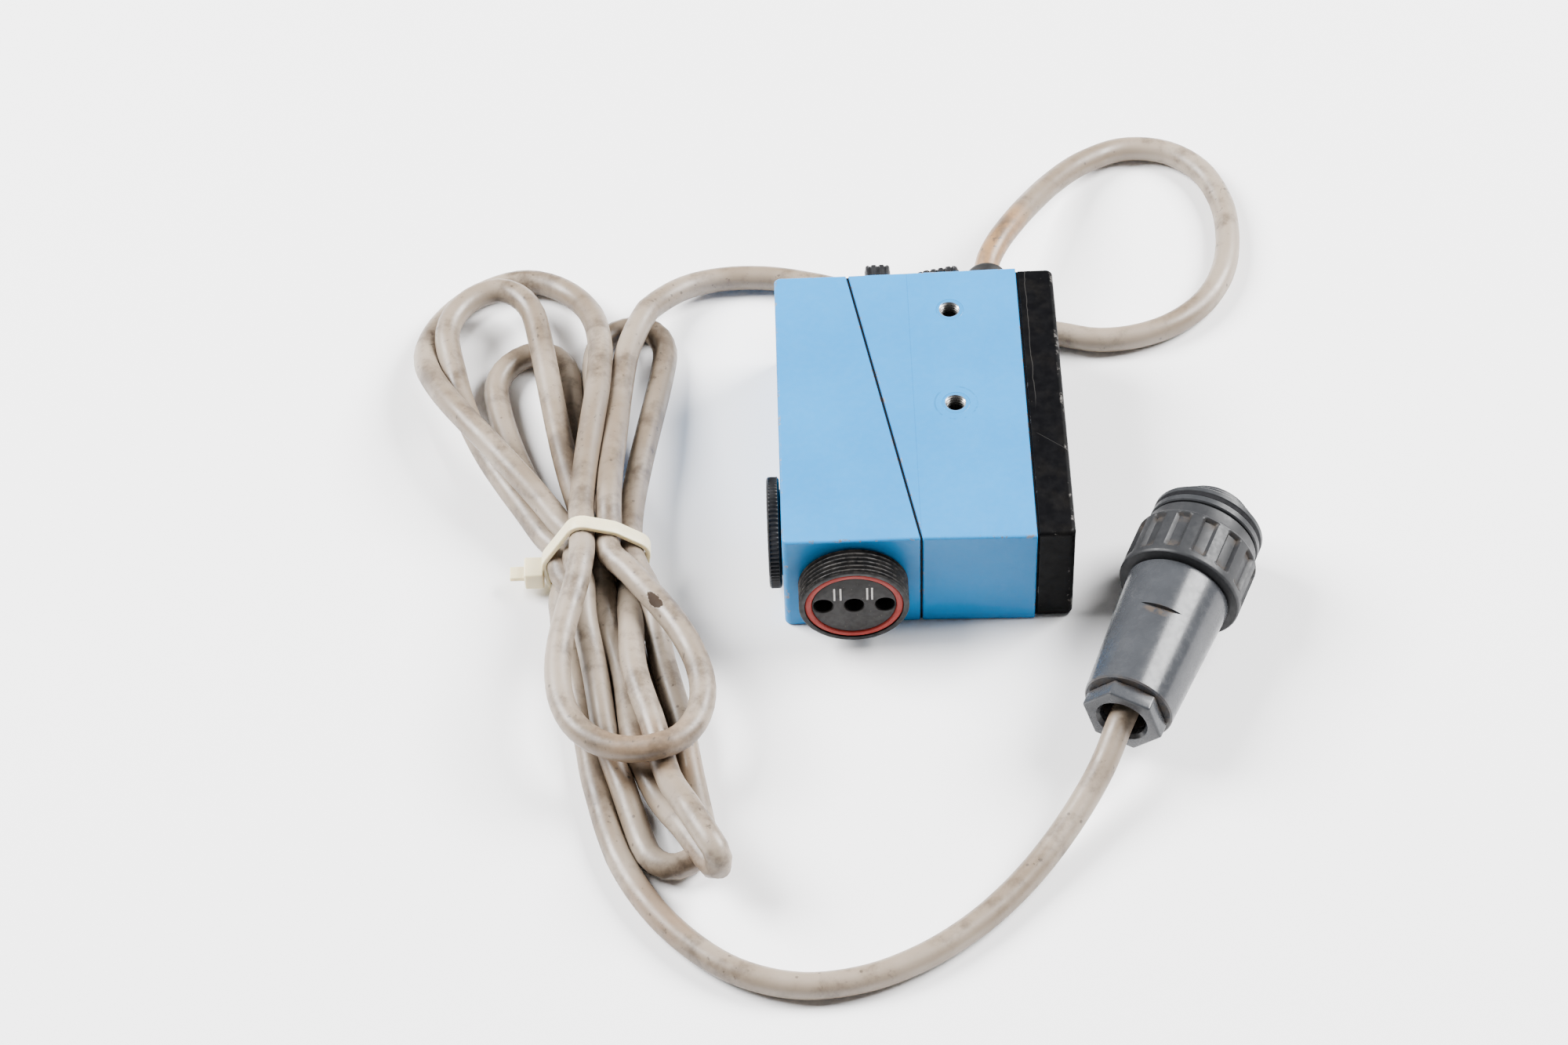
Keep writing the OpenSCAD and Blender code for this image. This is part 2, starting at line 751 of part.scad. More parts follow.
module plug_gasket() {
    color("black") on_plug() translate([0, 0, ring_end + 2.1])
        tube(flange_r - 0.1, flange_r - 0.65, 1);
}

optics_housing();
electronics_housing();
parting_gasket();
side_cover();
cover_gasket();
cover_screws();
housing_screws();
front_thread_insert();
rear_thread_insert();
head_barrel();
head_nut();
head_seal_ring();
fibre_face_plate();
fibre_sleeves();
optics_board();
red_led();
infrared_led();
photodiode();
board_ribbon();
blanking_cap();
cap_oring();
main_board();
board_components();
sensitivity_potentiometer();
mode_switch();
sensitivity_shaft();
mode_shaft();
sensitivity_knob();
mode_knob();
shaft_seals();
status_lens();
cable_boot();
cable_clamp();
cable_cores();
cable_lead_in();
cable_hank();
cable_lead_out();
cable_tie();
plug_clamp_nut();
plug_clamp_seal();
plug_body();
plug_coupling_ring();
plug_insert();
plug_contacts();
plug_gasket();
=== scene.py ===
"""The looks of the photoelectric sensor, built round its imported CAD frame.

The CAD's frame is in metres. Shapes are drawn in millimetres, each on an axis or from the
housing's corner, and mesh_of turns them into metres. MM does the same for single lengths.
"""

import json
import math

import bmesh
import bpy
import numpy as np
from mathutils import Matrix, Vector


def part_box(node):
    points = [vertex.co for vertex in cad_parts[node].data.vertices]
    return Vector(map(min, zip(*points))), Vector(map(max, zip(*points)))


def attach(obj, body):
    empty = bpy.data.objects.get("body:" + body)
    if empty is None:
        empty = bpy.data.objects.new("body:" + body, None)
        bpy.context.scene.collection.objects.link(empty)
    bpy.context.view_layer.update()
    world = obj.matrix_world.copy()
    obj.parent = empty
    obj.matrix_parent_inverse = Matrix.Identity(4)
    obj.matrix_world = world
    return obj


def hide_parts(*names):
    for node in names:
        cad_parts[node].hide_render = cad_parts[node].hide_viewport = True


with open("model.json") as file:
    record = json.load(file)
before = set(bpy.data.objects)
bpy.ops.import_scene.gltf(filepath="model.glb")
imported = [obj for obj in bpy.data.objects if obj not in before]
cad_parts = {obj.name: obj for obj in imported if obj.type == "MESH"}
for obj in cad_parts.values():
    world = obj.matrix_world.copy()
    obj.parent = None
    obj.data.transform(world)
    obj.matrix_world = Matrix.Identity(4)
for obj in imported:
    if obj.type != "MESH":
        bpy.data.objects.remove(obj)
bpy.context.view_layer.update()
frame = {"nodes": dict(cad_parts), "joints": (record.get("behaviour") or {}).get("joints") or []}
MM = 0.001
TAU = 2 * math.pi
BODY = "sensor_body"
# The least radius that a corner keeps where an edge is rounded down over it
LEAST_CORNER = 0.05


# ---------------------------------------------------------------- places from the frame

def centre(node):
    """Middle of a node's box."""
    low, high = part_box(node)
    return Vector([(a + b) / 2 for a, b in zip(low, high)])


def low(node):
    return Vector(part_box(node)[0])


def high(node):
    return Vector(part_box(node)[1])


MID_Z = centre("head_barrel").z
FRONT_Y = low("optics_housing").y
BACK_Y = high("electronics_housing").y
LEFT_X = low("optics_housing").x
SEAM_X = high("electronics_housing").x
RIGHT_X = high("side_cover").x
TOP_Z = high("optics_housing").z
RING_JOINT = next(j for j in frame["joints"] if j["name"] == "plug_ring_turn")
PLUG_AXIS = Vector(RING_JOINT["axis"]).normalized()
PLUG_FACE = Vector(RING_JOINT["pos_m"])
PLUG_TURN = math.degrees(math.atan2(PLUG_AXIS.y, PLUG_AXIS.x))


# ---------------------------------------------------------------- camera

def make_camera():
    """Camera at the photograph's viewing angle."""
    data = bpy.data.cameras.new("camera")
    data.lens = 85.7
    data.sensor_width = 36.0
    camera = bpy.data.objects.new("camera", data)
    camera.location = (-24.09 * MM, -566.28 * MM, 679.91 * MM)
    camera.rotation_euler = [math.radians(a) for a in (39.131, 1.644, -1.304)]
    bpy.context.scene.collection.objects.link(camera)
    bpy.context.scene.camera = camera


make_camera()


# ---------------------------------------------------------------- mesh helpers

def new_object(name, data, body=BODY):
    """Adds an object that rides on a body."""
    made = bpy.data.objects.new(name, data)
    bpy.context.scene.collection.objects.link(made)
    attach(made, body)
    return made


def mesh_of(name, shape, matrix):
    """Mesh in metres of (verts, faces) in millimetres, set on an axis."""
    mesh = bpy.data.meshes.new(name)
    mesh.from_pydata([tuple(matrix @ (Vector(v) * MM)) for v in shape[0]], [], shape[1])
    return mesh


def piece(name, shape, slot, matrix, cad=None, body=BODY, smooth=35):
    """Makes a piece of (verts, faces) or (verts, faces, wear), set on an axis. wear has a value
    for each point, 1 on a rubbed edge. cad is the node that it stands for."""
    mesh = mesh_of(name, shape, matrix)
    mesh.update()
    if len(shape) > 2:
        layer = mesh.attributes.new("wear", "FLOAT", "POINT")
        layer.data.foreach_set("value", [float(w) for w in shape[2]])
    made = new_object(name, mesh, body)
    tidy_normals(mesh)
    shade(made, smooth)
    mesh.materials.append(FINISHES[slot])
    if cad:
        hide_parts(cad)
    return made


def tidy_normals(mesh):
    """Merges doubled points and turns every face outwards."""
    work = bmesh.new()
    work.from_mesh(mesh)
    bmesh.ops.remove_doubles(work, verts=work.verts, dist=1e-7)
    bmesh.ops.recalc_face_normals(work, faces=work.faces)
    work.to_mesh(mesh)
    work.free()


def shade(target, angle):
    """Smooth shading, with edges sharper than angle kept sharp."""
    mesh = target.data
    mesh.polygons.foreach_set("use_smooth", [True] * len(mesh.polygons))
    mesh.set_sharp_from_angle(angle=math.radians(angle))


def on_axis(origin, direction):
    """Matrix that puts local +Z on direction and local +Y as near up as it can be, at origin."""
    z = Vector(direction).normalized()
    up = (0, 1, 0) if abs(z.z) > 0.9 else (0, 0, 1)
    x = Vector(up).cross(z).normalized()
    y = z.cross(x)
    turn = Matrix((x, y, z)).transposed().to_4x4()
    return Matrix.Translation(Vector(origin)) @ turn


def lathe(profile, steps=96, ring=False, shape=None):
    """Turns a profile of (radius, height) round +Z. ring closes the profile on itself; without
    it the ends are closed with discs. shape(radius, height, angle) changes a radius."""
    verts = []
    for k in range(steps):
        angle = TAU * k / steps
        for radius, height in profile:
            r = shape(radius, height, angle) if shape else radius
            verts.append((r * math.cos(angle), r * math.sin(angle), height))
    n = len(profile)
    faces = []
    for k in range(steps):
        here, there = k * n, (k + 1) % steps * n
        for i in range(n if ring else n - 1):
            j = (i + 1) % n
            faces.append((here + i, there + i, there + j, here + j))
    if not ring:
        faces.append([k * n for k in range(steps)])
        faces.append([k * n + n - 1 for k in range(steps)])
    return verts, faces


def rounded(points, radius, steps=4):
    """A closed outline of (x, y) or (r, h) with each of its corners rounded. radius is one value
    or one for each corner."""
    n = len(points)
    radii = radius if hasattr(radius, "__len__") else [radius] * n
    out = []
    for i in range(n):
        p = Vector(points[i][:2])
        r = radii[i]
        if r <= 0:
            out.append(tuple(p))
            continue
        a = (Vector(points[i - 1][:2]) - p).normalized()
        b = (Vector(points[(i + 1) % n][:2]) - p).normalized()
        half = a.angle(b) / 2
        middle = p + (a + b).normalized() * (r / math.sin(half))
        start = p + a * (r / math.tan(half)) - middle
        end = p + b * (r / math.tan(half)) - middle
        turn = math.atan2(start.x * end.y - start.y * end.x, start.dot(end))
        for k in range(steps + 1):
            c, s = math.cos(turn * k / steps), math.sin(turn * k / steps)
            out.append((middle.x + c * start.x - s * start.y, middle.y + s * start.x + c * start.y))
    return out


def inset_corners(corners, depths):
    """Moves each side of an outline with anticlockwise corners inwards by its own depth."""
    n = len(corners)
    out = []
    for i in range(n):
        p = Vector(corners[i])
        before = (p - Vector(corners[i - 1])).normalized()
        after = (Vector(corners[(i + 1) % n]) - p).normalized()
        m, k = Vector((-before.y, before.x)), Vector((-after.y, after.x))
        a, b = depths[i - 1], depths[i]
        spread = m.x * k.y - m.y * k.x
        out.append((p.x + (a * k.y - b * m.y) / spread, p.y + (m.x * b - k.x * a) / spread))
    return out


def stacked(levels, n):
    """Faces of a stack of closed outlines of n points each, closed at its bottom and top."""
    faces = []
    for level in range(levels - 1):
        a, b = level * n, (level + 1) * n
        faces += [(a + k, a + (k + 1) % n, b + (k + 1) % n, b + k) for k in range(n)]
    faces.append(list(range(n))[::-1])
    faces.append([(levels - 1) * n + k for k in range(n)])
    return faces


def prism(corners, radii, bottom, top, edge, share=None, corner_steps=6, edge_steps=5):
    """Upright prism with rounded upright corners and rounded top and bottom edges. share is how
    much of the edge radius each side has."""
    share = share or [1.0] * len(corners)
    levels = []
    for k in range(edge_steps + 1):
        a = TAU / 4 * k / edge_steps
        levels.append((edge * (1 - math.sin(a)), bottom + edge * (1 - math.cos(a))))
    levels += [(d, top + bottom - z) for d, z in reversed(levels)]
    verts, wear = [], []
    for number, (d, z) in enumerate(levels):
        inner = [max(r - d, LEAST_CORNER) for r in radii]
        outline = rounded(inset_corners(corners, [d * s for s in share]), inner, corner_steps)
        on_face = number in (0, len(levels) - 1)
        on_edge = number % (edge_steps + 1) not in (0, edge_steps)
        for k, (x, y) in enumerate(outline):
            on_corner = k % (corner_steps + 1) not in (0, corner_steps) and not on_face
            verts.append((x, y, z))
            wear.append(1.0 if on_edge or on_corner else 0.0)
    return verts, stacked(len(levels), len(outline)), wear


def joined(*parts):
    """Puts several (verts, faces) together as one."""
    verts, faces = [], []
    for more_verts, more_faces in parts:
        start = len(verts)
        verts += list(more_verts)
        faces += [[start + i for i in face] for face in more_faces]
    return verts, faces


def cutter(shape, matrix):
    """Solid of (verts, faces) on an axis, to be taken away from a piece."""
    mesh = mesh_of("cutter", shape, matrix)
    tidy_normals(mesh)
    tool = bpy.data.objects.new("cutter", mesh)
    bpy.context.scene.collection.objects.link(tool)
    return tool


def drum(matrix, radius, start, end, steps=64):
    """Cutter cylinder on an axis from start to end."""
    return cutter(lathe([(radius, start), (radius, end)], steps), matrix)


def cut(target, *tools, smooth=35):
    """Takes cutter solids away from a piece and drops them."""
    for tool in tools:
        change = target.modifiers.new("cut", "BOOLEAN")
        change.operation = "DIFFERENCE"
        change.solver = "EXACT"
        change.object = tool
    apply_modifiers(target)
    for tool in tools:
        mesh = tool.data
        bpy.data.objects.remove(tool)
        bpy.data.meshes.remove(mesh)
    shade(target, smooth)


def apply_modifiers(target):
    """Replaces a piece's mesh by what its modifiers make of it."""
    bpy.context.view_layer.update()
    graph = bpy.context.evaluated_depsgraph_get()
    mesh = bpy.data.meshes.new_from_object(target.evaluated_get(graph))
    target.modifiers.clear()
    old = target.data
    target.data = mesh
    mesh.name = old.name
    bpy.data.meshes.remove(old)


def even_normals(target):
    """Lets large flat faces rule the shading at rounded edges."""
    change = target.modifiers.new("even normals", "WEIGHTED_NORMAL")
    change.keep_sharp = True
    change.weight = 100


# ---------------------------------------------------------------- material helpers

class Paint:
    """A procedural material under construction: a Principled shader and shorthand for nodes."""

    def __init__(self, name, color, rough, metallic=0.0, specular=0.5, **sockets):
        self.material = bpy.data.materials.new(name)
        self.material.use_nodes = True
        self.material.diffuse_color = (*color, 1)
        self.tree = self.material.node_tree
        self.shader = self.tree.nodes["Principled BSDF"]
        self.set("Base Color", (*color, 1))
        self.set("Roughness", rough)
        self.set("Metallic", metallic)
        self.set("Specular IOR Level", specular)
        for key, value in sockets.items():
            self.set(key.replace("_", " "), value)
        self.place = self.node("ShaderNodeTexCoord").outputs["Object"]

    def set(self, socket, value):
        self.shader.inputs[socket].default_value = value

    def node(self, kind, **values):
        made = self.tree.nodes.new(kind)
        for key, value in values.items():
            setattr(made, key, value)
        return made

    def feed(self, target, value):
        """Links a node output, or sets a plain value."""
        if isinstance(value, bpy.types.NodeSocket):
            self.tree.links.new(value, target)
        elif isinstance(value, (tuple, list)) and len(value) == 3 and len(target.default_value) == 4:
            target.default_value = (*value, 1)
        else:
            target.default_value = value

    def math(self, operation, a, b=0.0):
        """Output of a math node. times, plus, minus and larger are shorthand for it."""
        made = self.node("ShaderNodeMath", operation=operation)
        self.feed(made.inputs[0], a)
        self.feed(made.inputs[1], b)
        return made.outputs[0]

    def times(self, a, b):
        return self.math("MULTIPLY", a, b)

    def plus(self, a, b):
        return self.math("ADD", a, b)

    def minus(self, a, b):
        return self.math("SUBTRACT", a, b)

    def larger(self, a, b):
        return self.math("MAXIMUM", a, b)

    def noise(self, size, detail=3.0, rough=0.55):
        """Noise with features of about size millimetres."""
        made = self.node("ShaderNodeTexNoise")
        self.feed(made.inputs["Vector"], self.place)
        made.inputs["Scale"].default_value = 1 / (size * MM)
        made.inputs["Detail"].default_value = detail
        made.inputs["Roughness"].default_value = rough
        return made.outputs["Fac"]

    def cells(self, size):
        """Distance to the nearest of scattered points, in cells of about size millimetres."""
        made = self.node("ShaderNodeTexVoronoi")
        self.feed(made.inputs["Vector"], self.place)
        made.inputs["Scale"].default_value = 1 / (size * MM)
        return made.outputs["Distance"]

    def grain(self, size, low, high):
        """A roughness that varies between two values over about size millimetres."""
        return self.ramp(self.noise(size, 4), 0.3, 0.7, (low, high))

    def line(self, value, middle, width, soft):
        """1 where a value in metres is within half a width of middle, fading over soft. width
        and soft are in millimetres."""
        off = self.math("ABSOLUTE", self.minus(value, middle))
        return self.ramp(off, width * MM / 2, width * MM / 2 + soft * MM, (1.0, 0.0))

    def ramp(self, value, start, end, out=(0.0, 1.0)):
        """Smooth step of a value from start to end."""
        made = self.node("ShaderNodeMapRange", interpolation_type="SMOOTHSTEP")
        for key, item in (("Value", value), ("From Min", start), ("From Max", end),
                          ("To Min", out[0]), ("To Max", out[1])):
            self.feed(made.inputs[key], item)
        return made.outputs["Result"]

    def mix(self, amount, a, b):
        made = self.node("ShaderNodeMix", data_type="RGBA")
        self.feed(made.inputs["Factor"], amount)
        self.feed(made.inputs[6], a)
        self.feed(made.inputs[7], b)
        return made.outputs[2]

    def split(self):
        made = self.node("ShaderNodeSeparateXYZ")
        self.feed(made.inputs[0], self.place)
        return made.outputs

    def near(self, middle, radii, turn=0.0):
        """Distance to a place, 1 on an ellipsoid of these millimetre radii turned about Z."""
        made = self.node("ShaderNodeMapping", vector_type="TEXTURE")
        self.feed(made.inputs["Vector"], self.place)
        made.inputs["Location"].default_value = middle
        made.inputs["Rotation"].default_value = (0, 0, math.radians(turn))
        made.inputs["Scale"].default_value = [r * MM for r in radii]
        length = self.node("ShaderNodeVectorMath", operation="LENGTH")
        self.feed(length.inputs[0], made.outputs["Vector"])
        return length.outputs["Value"]

    def wear(self):
        return self.node("ShaderNodeAttribute", attribute_name="wear").outputs["Fac"]

    def bump(self, height, distance, strength):
        """Relief of about distance millimetres."""
        made = self.node("ShaderNodeBump")
        made.inputs["Strength"].default_value = strength
        made.inputs["Distance"].default_value = distance * MM
        self.feed(made.inputs["Height"], height)
        self.feed(self.shader.inputs["Normal"], made.outputs["Normal"])

    def color(self, value):
        self.feed(self.shader.inputs["Base Color"], value)

    def rough(self, value):
        self.feed(self.shader.inputs["Roughness"], value)

    def metal(self, value):
        self.feed(self.shader.inputs["Metallic"], value)


# ---------------------------------------------------------------- the cable

CABLE_D = 6.0 * MM
# Distance between the points of the finished centre line
STEP = 2.5 * MM
# How far apart the strands keep, as a share of their diameter, how much of that the tie takes
# away, and how far along the hank it does so, in millimetres
CLEARANCE = 1.004
SQUEEZE = 0.12
SQUEEZE_REACH = 14

# A place on the cable where its jacket is torn
NICK = (-60.3 * MM, -49.0 * MM, 18.2 * MM)
# Yellowed and browned stretches: middle, radii, colour and strength
STAINS = [
    ((23, 60, 15), (13, 17, 12), (0.23, 0.125, 0.05), 0.85),
    ((-61, -86, 12), (16, 9, 14), (0.16, 0.095, 0.05), 0.5),
    ((-48, -113, 8), (9, 8, 8), (0.15, 0.09, 0.05), 0.5),
    ((-60, -122, 3), (14, 12, 8), (0.15, 0.09, 0.05), 0.45),
]

# Centre line from the boot to the hank and from the hank to the plug, in millimetres
LEAD_IN = [
    (19.8, 50.1, 15), (20.4, 54, 15.4), (23, 60, 15.6), (27, 67.5, 14.4), (32, 76.5, 11.8),
    (38.5, 87, 8.2), (47, 97, 4.8), (57.5, 102.8, 3.2), (68, 101.5, 3.1), (76, 95, 3.1),
    (80.5, 84, 3.1), (81.2, 72, 3.1), (79, 60, 3.1), (73.5, 50, 3.1), (65, 42.8, 3.1),
    (55.5, 39.2, 3.1), (46, 38.6, 3.1), (37, 41, 3.1), (26, 43.5, 3.1), (13, 47.5, 3.1),
    (0, 52, 3.1), (-12, 56.5, 3.1), (-22, 60, 3.1), (-33, 62.5, 3.1), (-44, 62.5, 3.1),
    (-53, 59.5, 3.6), (-60, 53, 5), (-64.5, 45, 7),
]
LEAD_OUT = [
    (-75.6, -64, 3.1), (-74.4, -78, 3.1), (-72.6, -90, 3.1), (-69.9, -102, 3.1), (-64.4, -116, 3.1),
    (-56, -128, 3.1), (-44.6, -137.5, 3.1), (-31, -142, 3.1), (-17, -141, 3.1), (-4, -136, 3.1),
    (8, -128, 3.1), (18.5, -118, 3.6), (27, -108, 5.5), (34.5, -97.5, 8.5), (38.4, -91, 11.2),
    (41.2, -85, 13.4), (43.4, -80.5, 14.3),
]
# Where the incoming cable climbs over the hank's back loops to the tie
CLIMB = [(-68.3, 33, 9.5), (-70.5, 18, 11.5), (-71.8, 1, 14), (-71.8, -16, 16)]

# The tie's middle, and each pass of the cable through it: across and height
TIE = (-74.5, -28.5)
PASSES = [
    (3.1, 15.4), (-2.5, 15.6), (-4.0, 10.4), (6.2, 10.3), (6.4, 4.6),
    (1.0, 9.8), (-8.2, 6.7), (0.9, 4.1), (-4.6, 3.1),
]
# Loops in the order the cable runs through them, front and back by turns: the tip, how far the
# whole loop bows to the right, how far its way out and its way back stand off to the right, and
# heights of the way out, the tip and the way back
LOOPS = [
    ((-59.5, -87.5), 0.0, 13.5, -17.5, (16, 14.5, 16)),
    ((-96, 64), -0.5, 17.0, -24.5, (14, 3.1, 15)),
    ((-56.5, -111), 0.0, -6.0, 7.0, (5, 3.1, 4.5)),
    ((-64.5, 48), 0.0, 7.0, -11.0, (8, 3.1, 3.1)),
    ((-47.2, -116.5), -7.0, 0.4, -0.4, (9.2, 12.2, 3.1)),
    ((-101.5, 56), -3.5, 9.5, -13.5, (9, 9.2, 6)),
    ((-61.5, -80), 0.0, -4.5, 4.5, (3.1, 3.1, 3.1)),
    ((-90, 40.5), -1.5, 8.0, -11.0, (3.1, 3.1, 3.1)),
]


def ease(t):
    t = min(max(t, 0.0), 1.0)
    return t * t * (3 - 2 * t)


def loop_side(loop, bulge, slot, middle):
    """Points of one side of a teardrop loop with a round tip, from the tie to the tip. A loop
    with next to no width turns over at its tip instead of lying flat."""
    tip, bow, tip_z = loop[0], loop[1], loop[4][1]
    axis = Vector(tip) - Vector(TIE)
    ahead = axis.normalized()
    right = Vector((abs(ahead.y), -ahead.x if ahead.y > 0 else ahead.x))
    upright, upright_r = abs(bulge) < 1, 3.1
    reach = upright_r if upright else max(abs(loop[2]), abs(loop[3]))
    over = reach if middle == max(loop[4][0], loop[4][2]) else -reach
    straight = axis.length - reach
    legs, tips, clear_of_tie = 8, 6, 8
    marks = [(straight * k / legs, bulge * math.sin(TAU / 4 * k / legs) ** 1.4, 1.0)
             for k in range(1, legs)]
    for k in range(tips):
        a = TAU / 4 * k / tips
        marks.append((straight + reach * math.sin(a), bulge * math.cos(a), math.cos(a)))
    points = []
    for d, aside, turn in marks:
        along = d / axis.length
        flat = Vector(TIE) + ahead * d + right * (aside + bow * math.sin(math.pi * along))
        z = slot[1] + (middle - slot[1]) * ease(along / 0.4)
        if upright:
            z += (tip_z + over * turn - z) * ease((along - 0.68) / 0.2)
        else:
            z += (tip_z - z) * ease((along - 0.4) / 0.6)
        if d > clear_of_tie:
            points.append((flat.x + slot[0] * (1 - along) ** 2, flat.y, z))
    return points


def loop_points(loop, slot_out, slot_back):
    """Points of one loop, from the tie out to its tip and back."""
    tip, _, bulge_out, bulge_back, heights = loop
    way_out = loop_side(loop, bulge_out, slot_out, heights[0])
    way_back = loop_side(loop, bulge_back, slot_back, heights[2])
    return way_out + [(*tip, heights[1])] + way_back[::-1]


def cable_route():
    """All the cable's points, in millimetres: lead-in, eight loops by turns, lead-out."""
    points = LEAD_IN + CLIMB
    for number, loop in enumerate(LOOPS):
        away = 1 if loop[0][1] > TIE[1] else -1
        across, z = PASSES[number]
        points = points + [(TIE[0] + across, TIE[1] - 3 * away, z)]
        points += [(TIE[0] + across, TIE[1] + 3 * away, z)]
        points += loop_points(loop, PASSES[number], PASSES[number + 1])
    across, z = PASSES[-1]
    points += [(TIE[0] + across, TIE[1] + 3, z), (TIE[0] + across, TIE[1] - 3, z)]
    points += [(TIE[0] - 2.8, TIE[1] - 20, 3.1)]
    return np.array(points + LEAD_OUT) * MM


def smooth_line(points):
    """Centripetal Catmull-Rom curve through the points, in even steps."""
    p = np.vstack([2 * points[0] - points[1], points, 2 * points[-1] - points[-2]])
    out = []
    for k in range(1, len(p) - 2):
        q = p[k - 1:k + 3]
        t = np.r_[0, np.cumsum(np.sqrt(np.linalg.norm(np.diff(q, axis=0), axis=1)))]
        for u in np.linspace(t[1], t[2], 12, endpoint=False):
            a = [q[i] + (q[i + 1] - q[i]) * (u - t[i]) / (t[i + 1] - t[i]) for i in range(3)]
            b = [a[i] + (a[i + 1] - a[i]) * (u - t[i]) / (t[i + 2] - t[i]) for i in range(2)]
            out.append(b[0] + (b[1] - b[0]) * (u - t[1]) / (t[2] - t[1]))
    return evened(np.array(out + [points[-1]]), STEP)


def evened(points, step):
    """Points along a line in even steps of about step."""
    far = np.r_[0, np.cumsum(np.linalg.norm(np.diff(points, axis=0), axis=1))]
    places = np.linspace(0, far[-1], int(round(far[-1] / step)) + 1)
    return np.stack([np.interp(places, far, points[:, k]) for k in range(3)], axis=1)


def close_pairs(line, reach):
    """Pairs of points nearer than reach to each other, but not neighbours along the line."""
    neighbours = 9
    gap = np.linalg.norm(line[:, None] - line[None], axis=2)
    return np.nonzero(np.triu(gap < reach, neighbours))


def settle(points, rounds=240):
    """Lets the cable's strands push each other apart and off the floor, a little less where the
    tie squeezes them. What moves is smoothed along the cable, so the strands keep their flow."""
    floor = CABLE_D / 2 + 0.02 * MM
    held, between_searches, last_rounds = 5, 20, 6
    push_share, smoothing, slackening = 0.3, 0.6, 0.995
    pinch = np.exp(-((points[:, 1] / MM - TIE[1]) / SQUEEZE_REACH) ** 2)
    shift = np.zeros_like(points)
    free = np.ones((len(points), 1))
    free[:held] = free[-held:] = 0
    for turn in range(rounds):
        line = points + shift
        if turn % between_searches == 0:
            first, second = close_pairs(line, CABLE_D * 2)
        gap = line[first] - line[second]
        size = np.maximum(np.linalg.norm(gap, axis=1), 1e-6)
        apart = CABLE_D * (CLEARANCE - SQUEEZE * pinch[first])
        push = gap / size[:, None] * np.maximum(apart - size, 0)[:, None] * push_share
        np.add.at(shift, first, push)
        np.add.at(shift, second, -push)
        line = points + shift
        shift[:, 2] += np.maximum(floor - line[:, 2], 0)
        if turn < rounds - last_rounds:
            shift[1:-1] += (shift[:-2] / 2 + shift[2:] / 2 - shift[1:-1]) * smoothing
            shift *= slackening
        shift *= free
    return points + shift


CABLE_LINE = settle(smooth_line(cable_route()))


def cable_paint():
    """Warm grey PVC, yellowed in places, with brown specks, smears, rubbed dirt and a nick."""
    p = Paint("cable grey", (0.27, 0.22, 0.17), 0.42, Coat_Weight=0.1, Coat_Roughness=0.3)
    clean = p.mix(p.ramp(p.noise(30, 2), 0.35, 0.65), (0.238, 0.192, 0.146), (0.150, 0.112, 0.077))
    for place, radii, color, amount in STAINS:
        stain = p.ramp(p.near([c * MM for c in place], radii), 0.55, 1.1, (amount, 0.0))
        clean = p.mix(stain, clean, color)
    grime = p.ramp(p.noise(11, 5, 0.68), 0.45, 0.68)
    dirty = p.mix(p.times(grime, 0.85), clean, (0.066, 0.045, 0.029))
    specks = p.ramp(p.noise(1.5, 3, 0.6), 0.62, 0.69)
    patches = p.ramp(p.noise(15, 3), 0.42, 0.60)
    both = p.times(specks, patches)
    spotted = p.mix(p.times(both, 0.8), dirty, (0.045, 0.032, 0.022))
    dots = p.ramp(p.cells(5), 0.05, 0.10, (0.7, 0.0))
    spotted = p.mix(dots, spotted, (0.04, 0.028, 0.02))
    torn = p.near(NICK, (1.0, 2.6, 3.0), 35)
    rim = p.plus(torn, p.times(p.minus(p.noise(1.2, 3), 0.5), 0.9))
    nick = p.ramp(rim, 1.0, 1.15, (1.0, 0.0))
    p.color(p.mix(nick, spotted, (0.030, 0.020, 0.014)))
    p.rough(p.plus(p.grain(5, 0.36, 0.56), p.times(nick, 0.3)))
    p.feed(p.shader.inputs["Coat Weight"], p.ramp(nick, 0.0, 1.0, (0.1, 0.0)))
    p.feed(p.shader.inputs["Specular IOR Level"], p.ramp(nick, 0.0, 1.0, (0.5, 0.1)))
    relief = p.minus(p.noise(2.2, 4, 0.6), p.times(nick, 1.2))
    p.bump(relief, 0.12, 0.5)
    return p.material


def make_cable():
    """The whole cable as a round curve on its centre line."""
    data = bpy.data.curves.new("cable", "CURVE")
    data.dimensions = "3D"
    spline = data.splines.new("POLY")
    spline.points.add(len(CABLE_LINE) - 1)
    for point, place in zip(spline.points, CABLE_LINE):
        point.co = (*place, 1)
    spline.use_smooth = True
    data.bevel_depth = CABLE_D / 2
    data.bevel_resolution = 6
    data.use_fill_caps = True
    data.twist_mode = "MINIMUM"
    data.materials.append(cable_paint())
    cable = new_object("cable", data)
    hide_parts("cable_lead_in", "cable_hank", "cable_lead_out")
    return cable


CABLE = make_cable()


# ---------------------------------------------------------------- materials

def plain(name, color, rough, metallic=0.0, **sockets):
    """A plain moulded, plated or coated surface with a little grain."""
    p = Paint(name, color, rough, metallic, **sockets)
    noise = p.noise(1.5, 4)
    p.rough(p.ramp(noise, 0.3, 0.7, (max(rough - 0.07, 0.02), min(rough + 0.09, 1.0))))
    p.color(p.mix(p.noise(9, 3), [c * 0.88 for c in color], [c * 1.1 for c in color]))
    p.bump(noise, 0.02, 0.4)
    return p.material


def top_face(p, z):
    """1 on the sensor's top face."""
    return p.ramp(z, TOP_Z - 0.3 * MM, TOP_Z - 0.1 * MM)


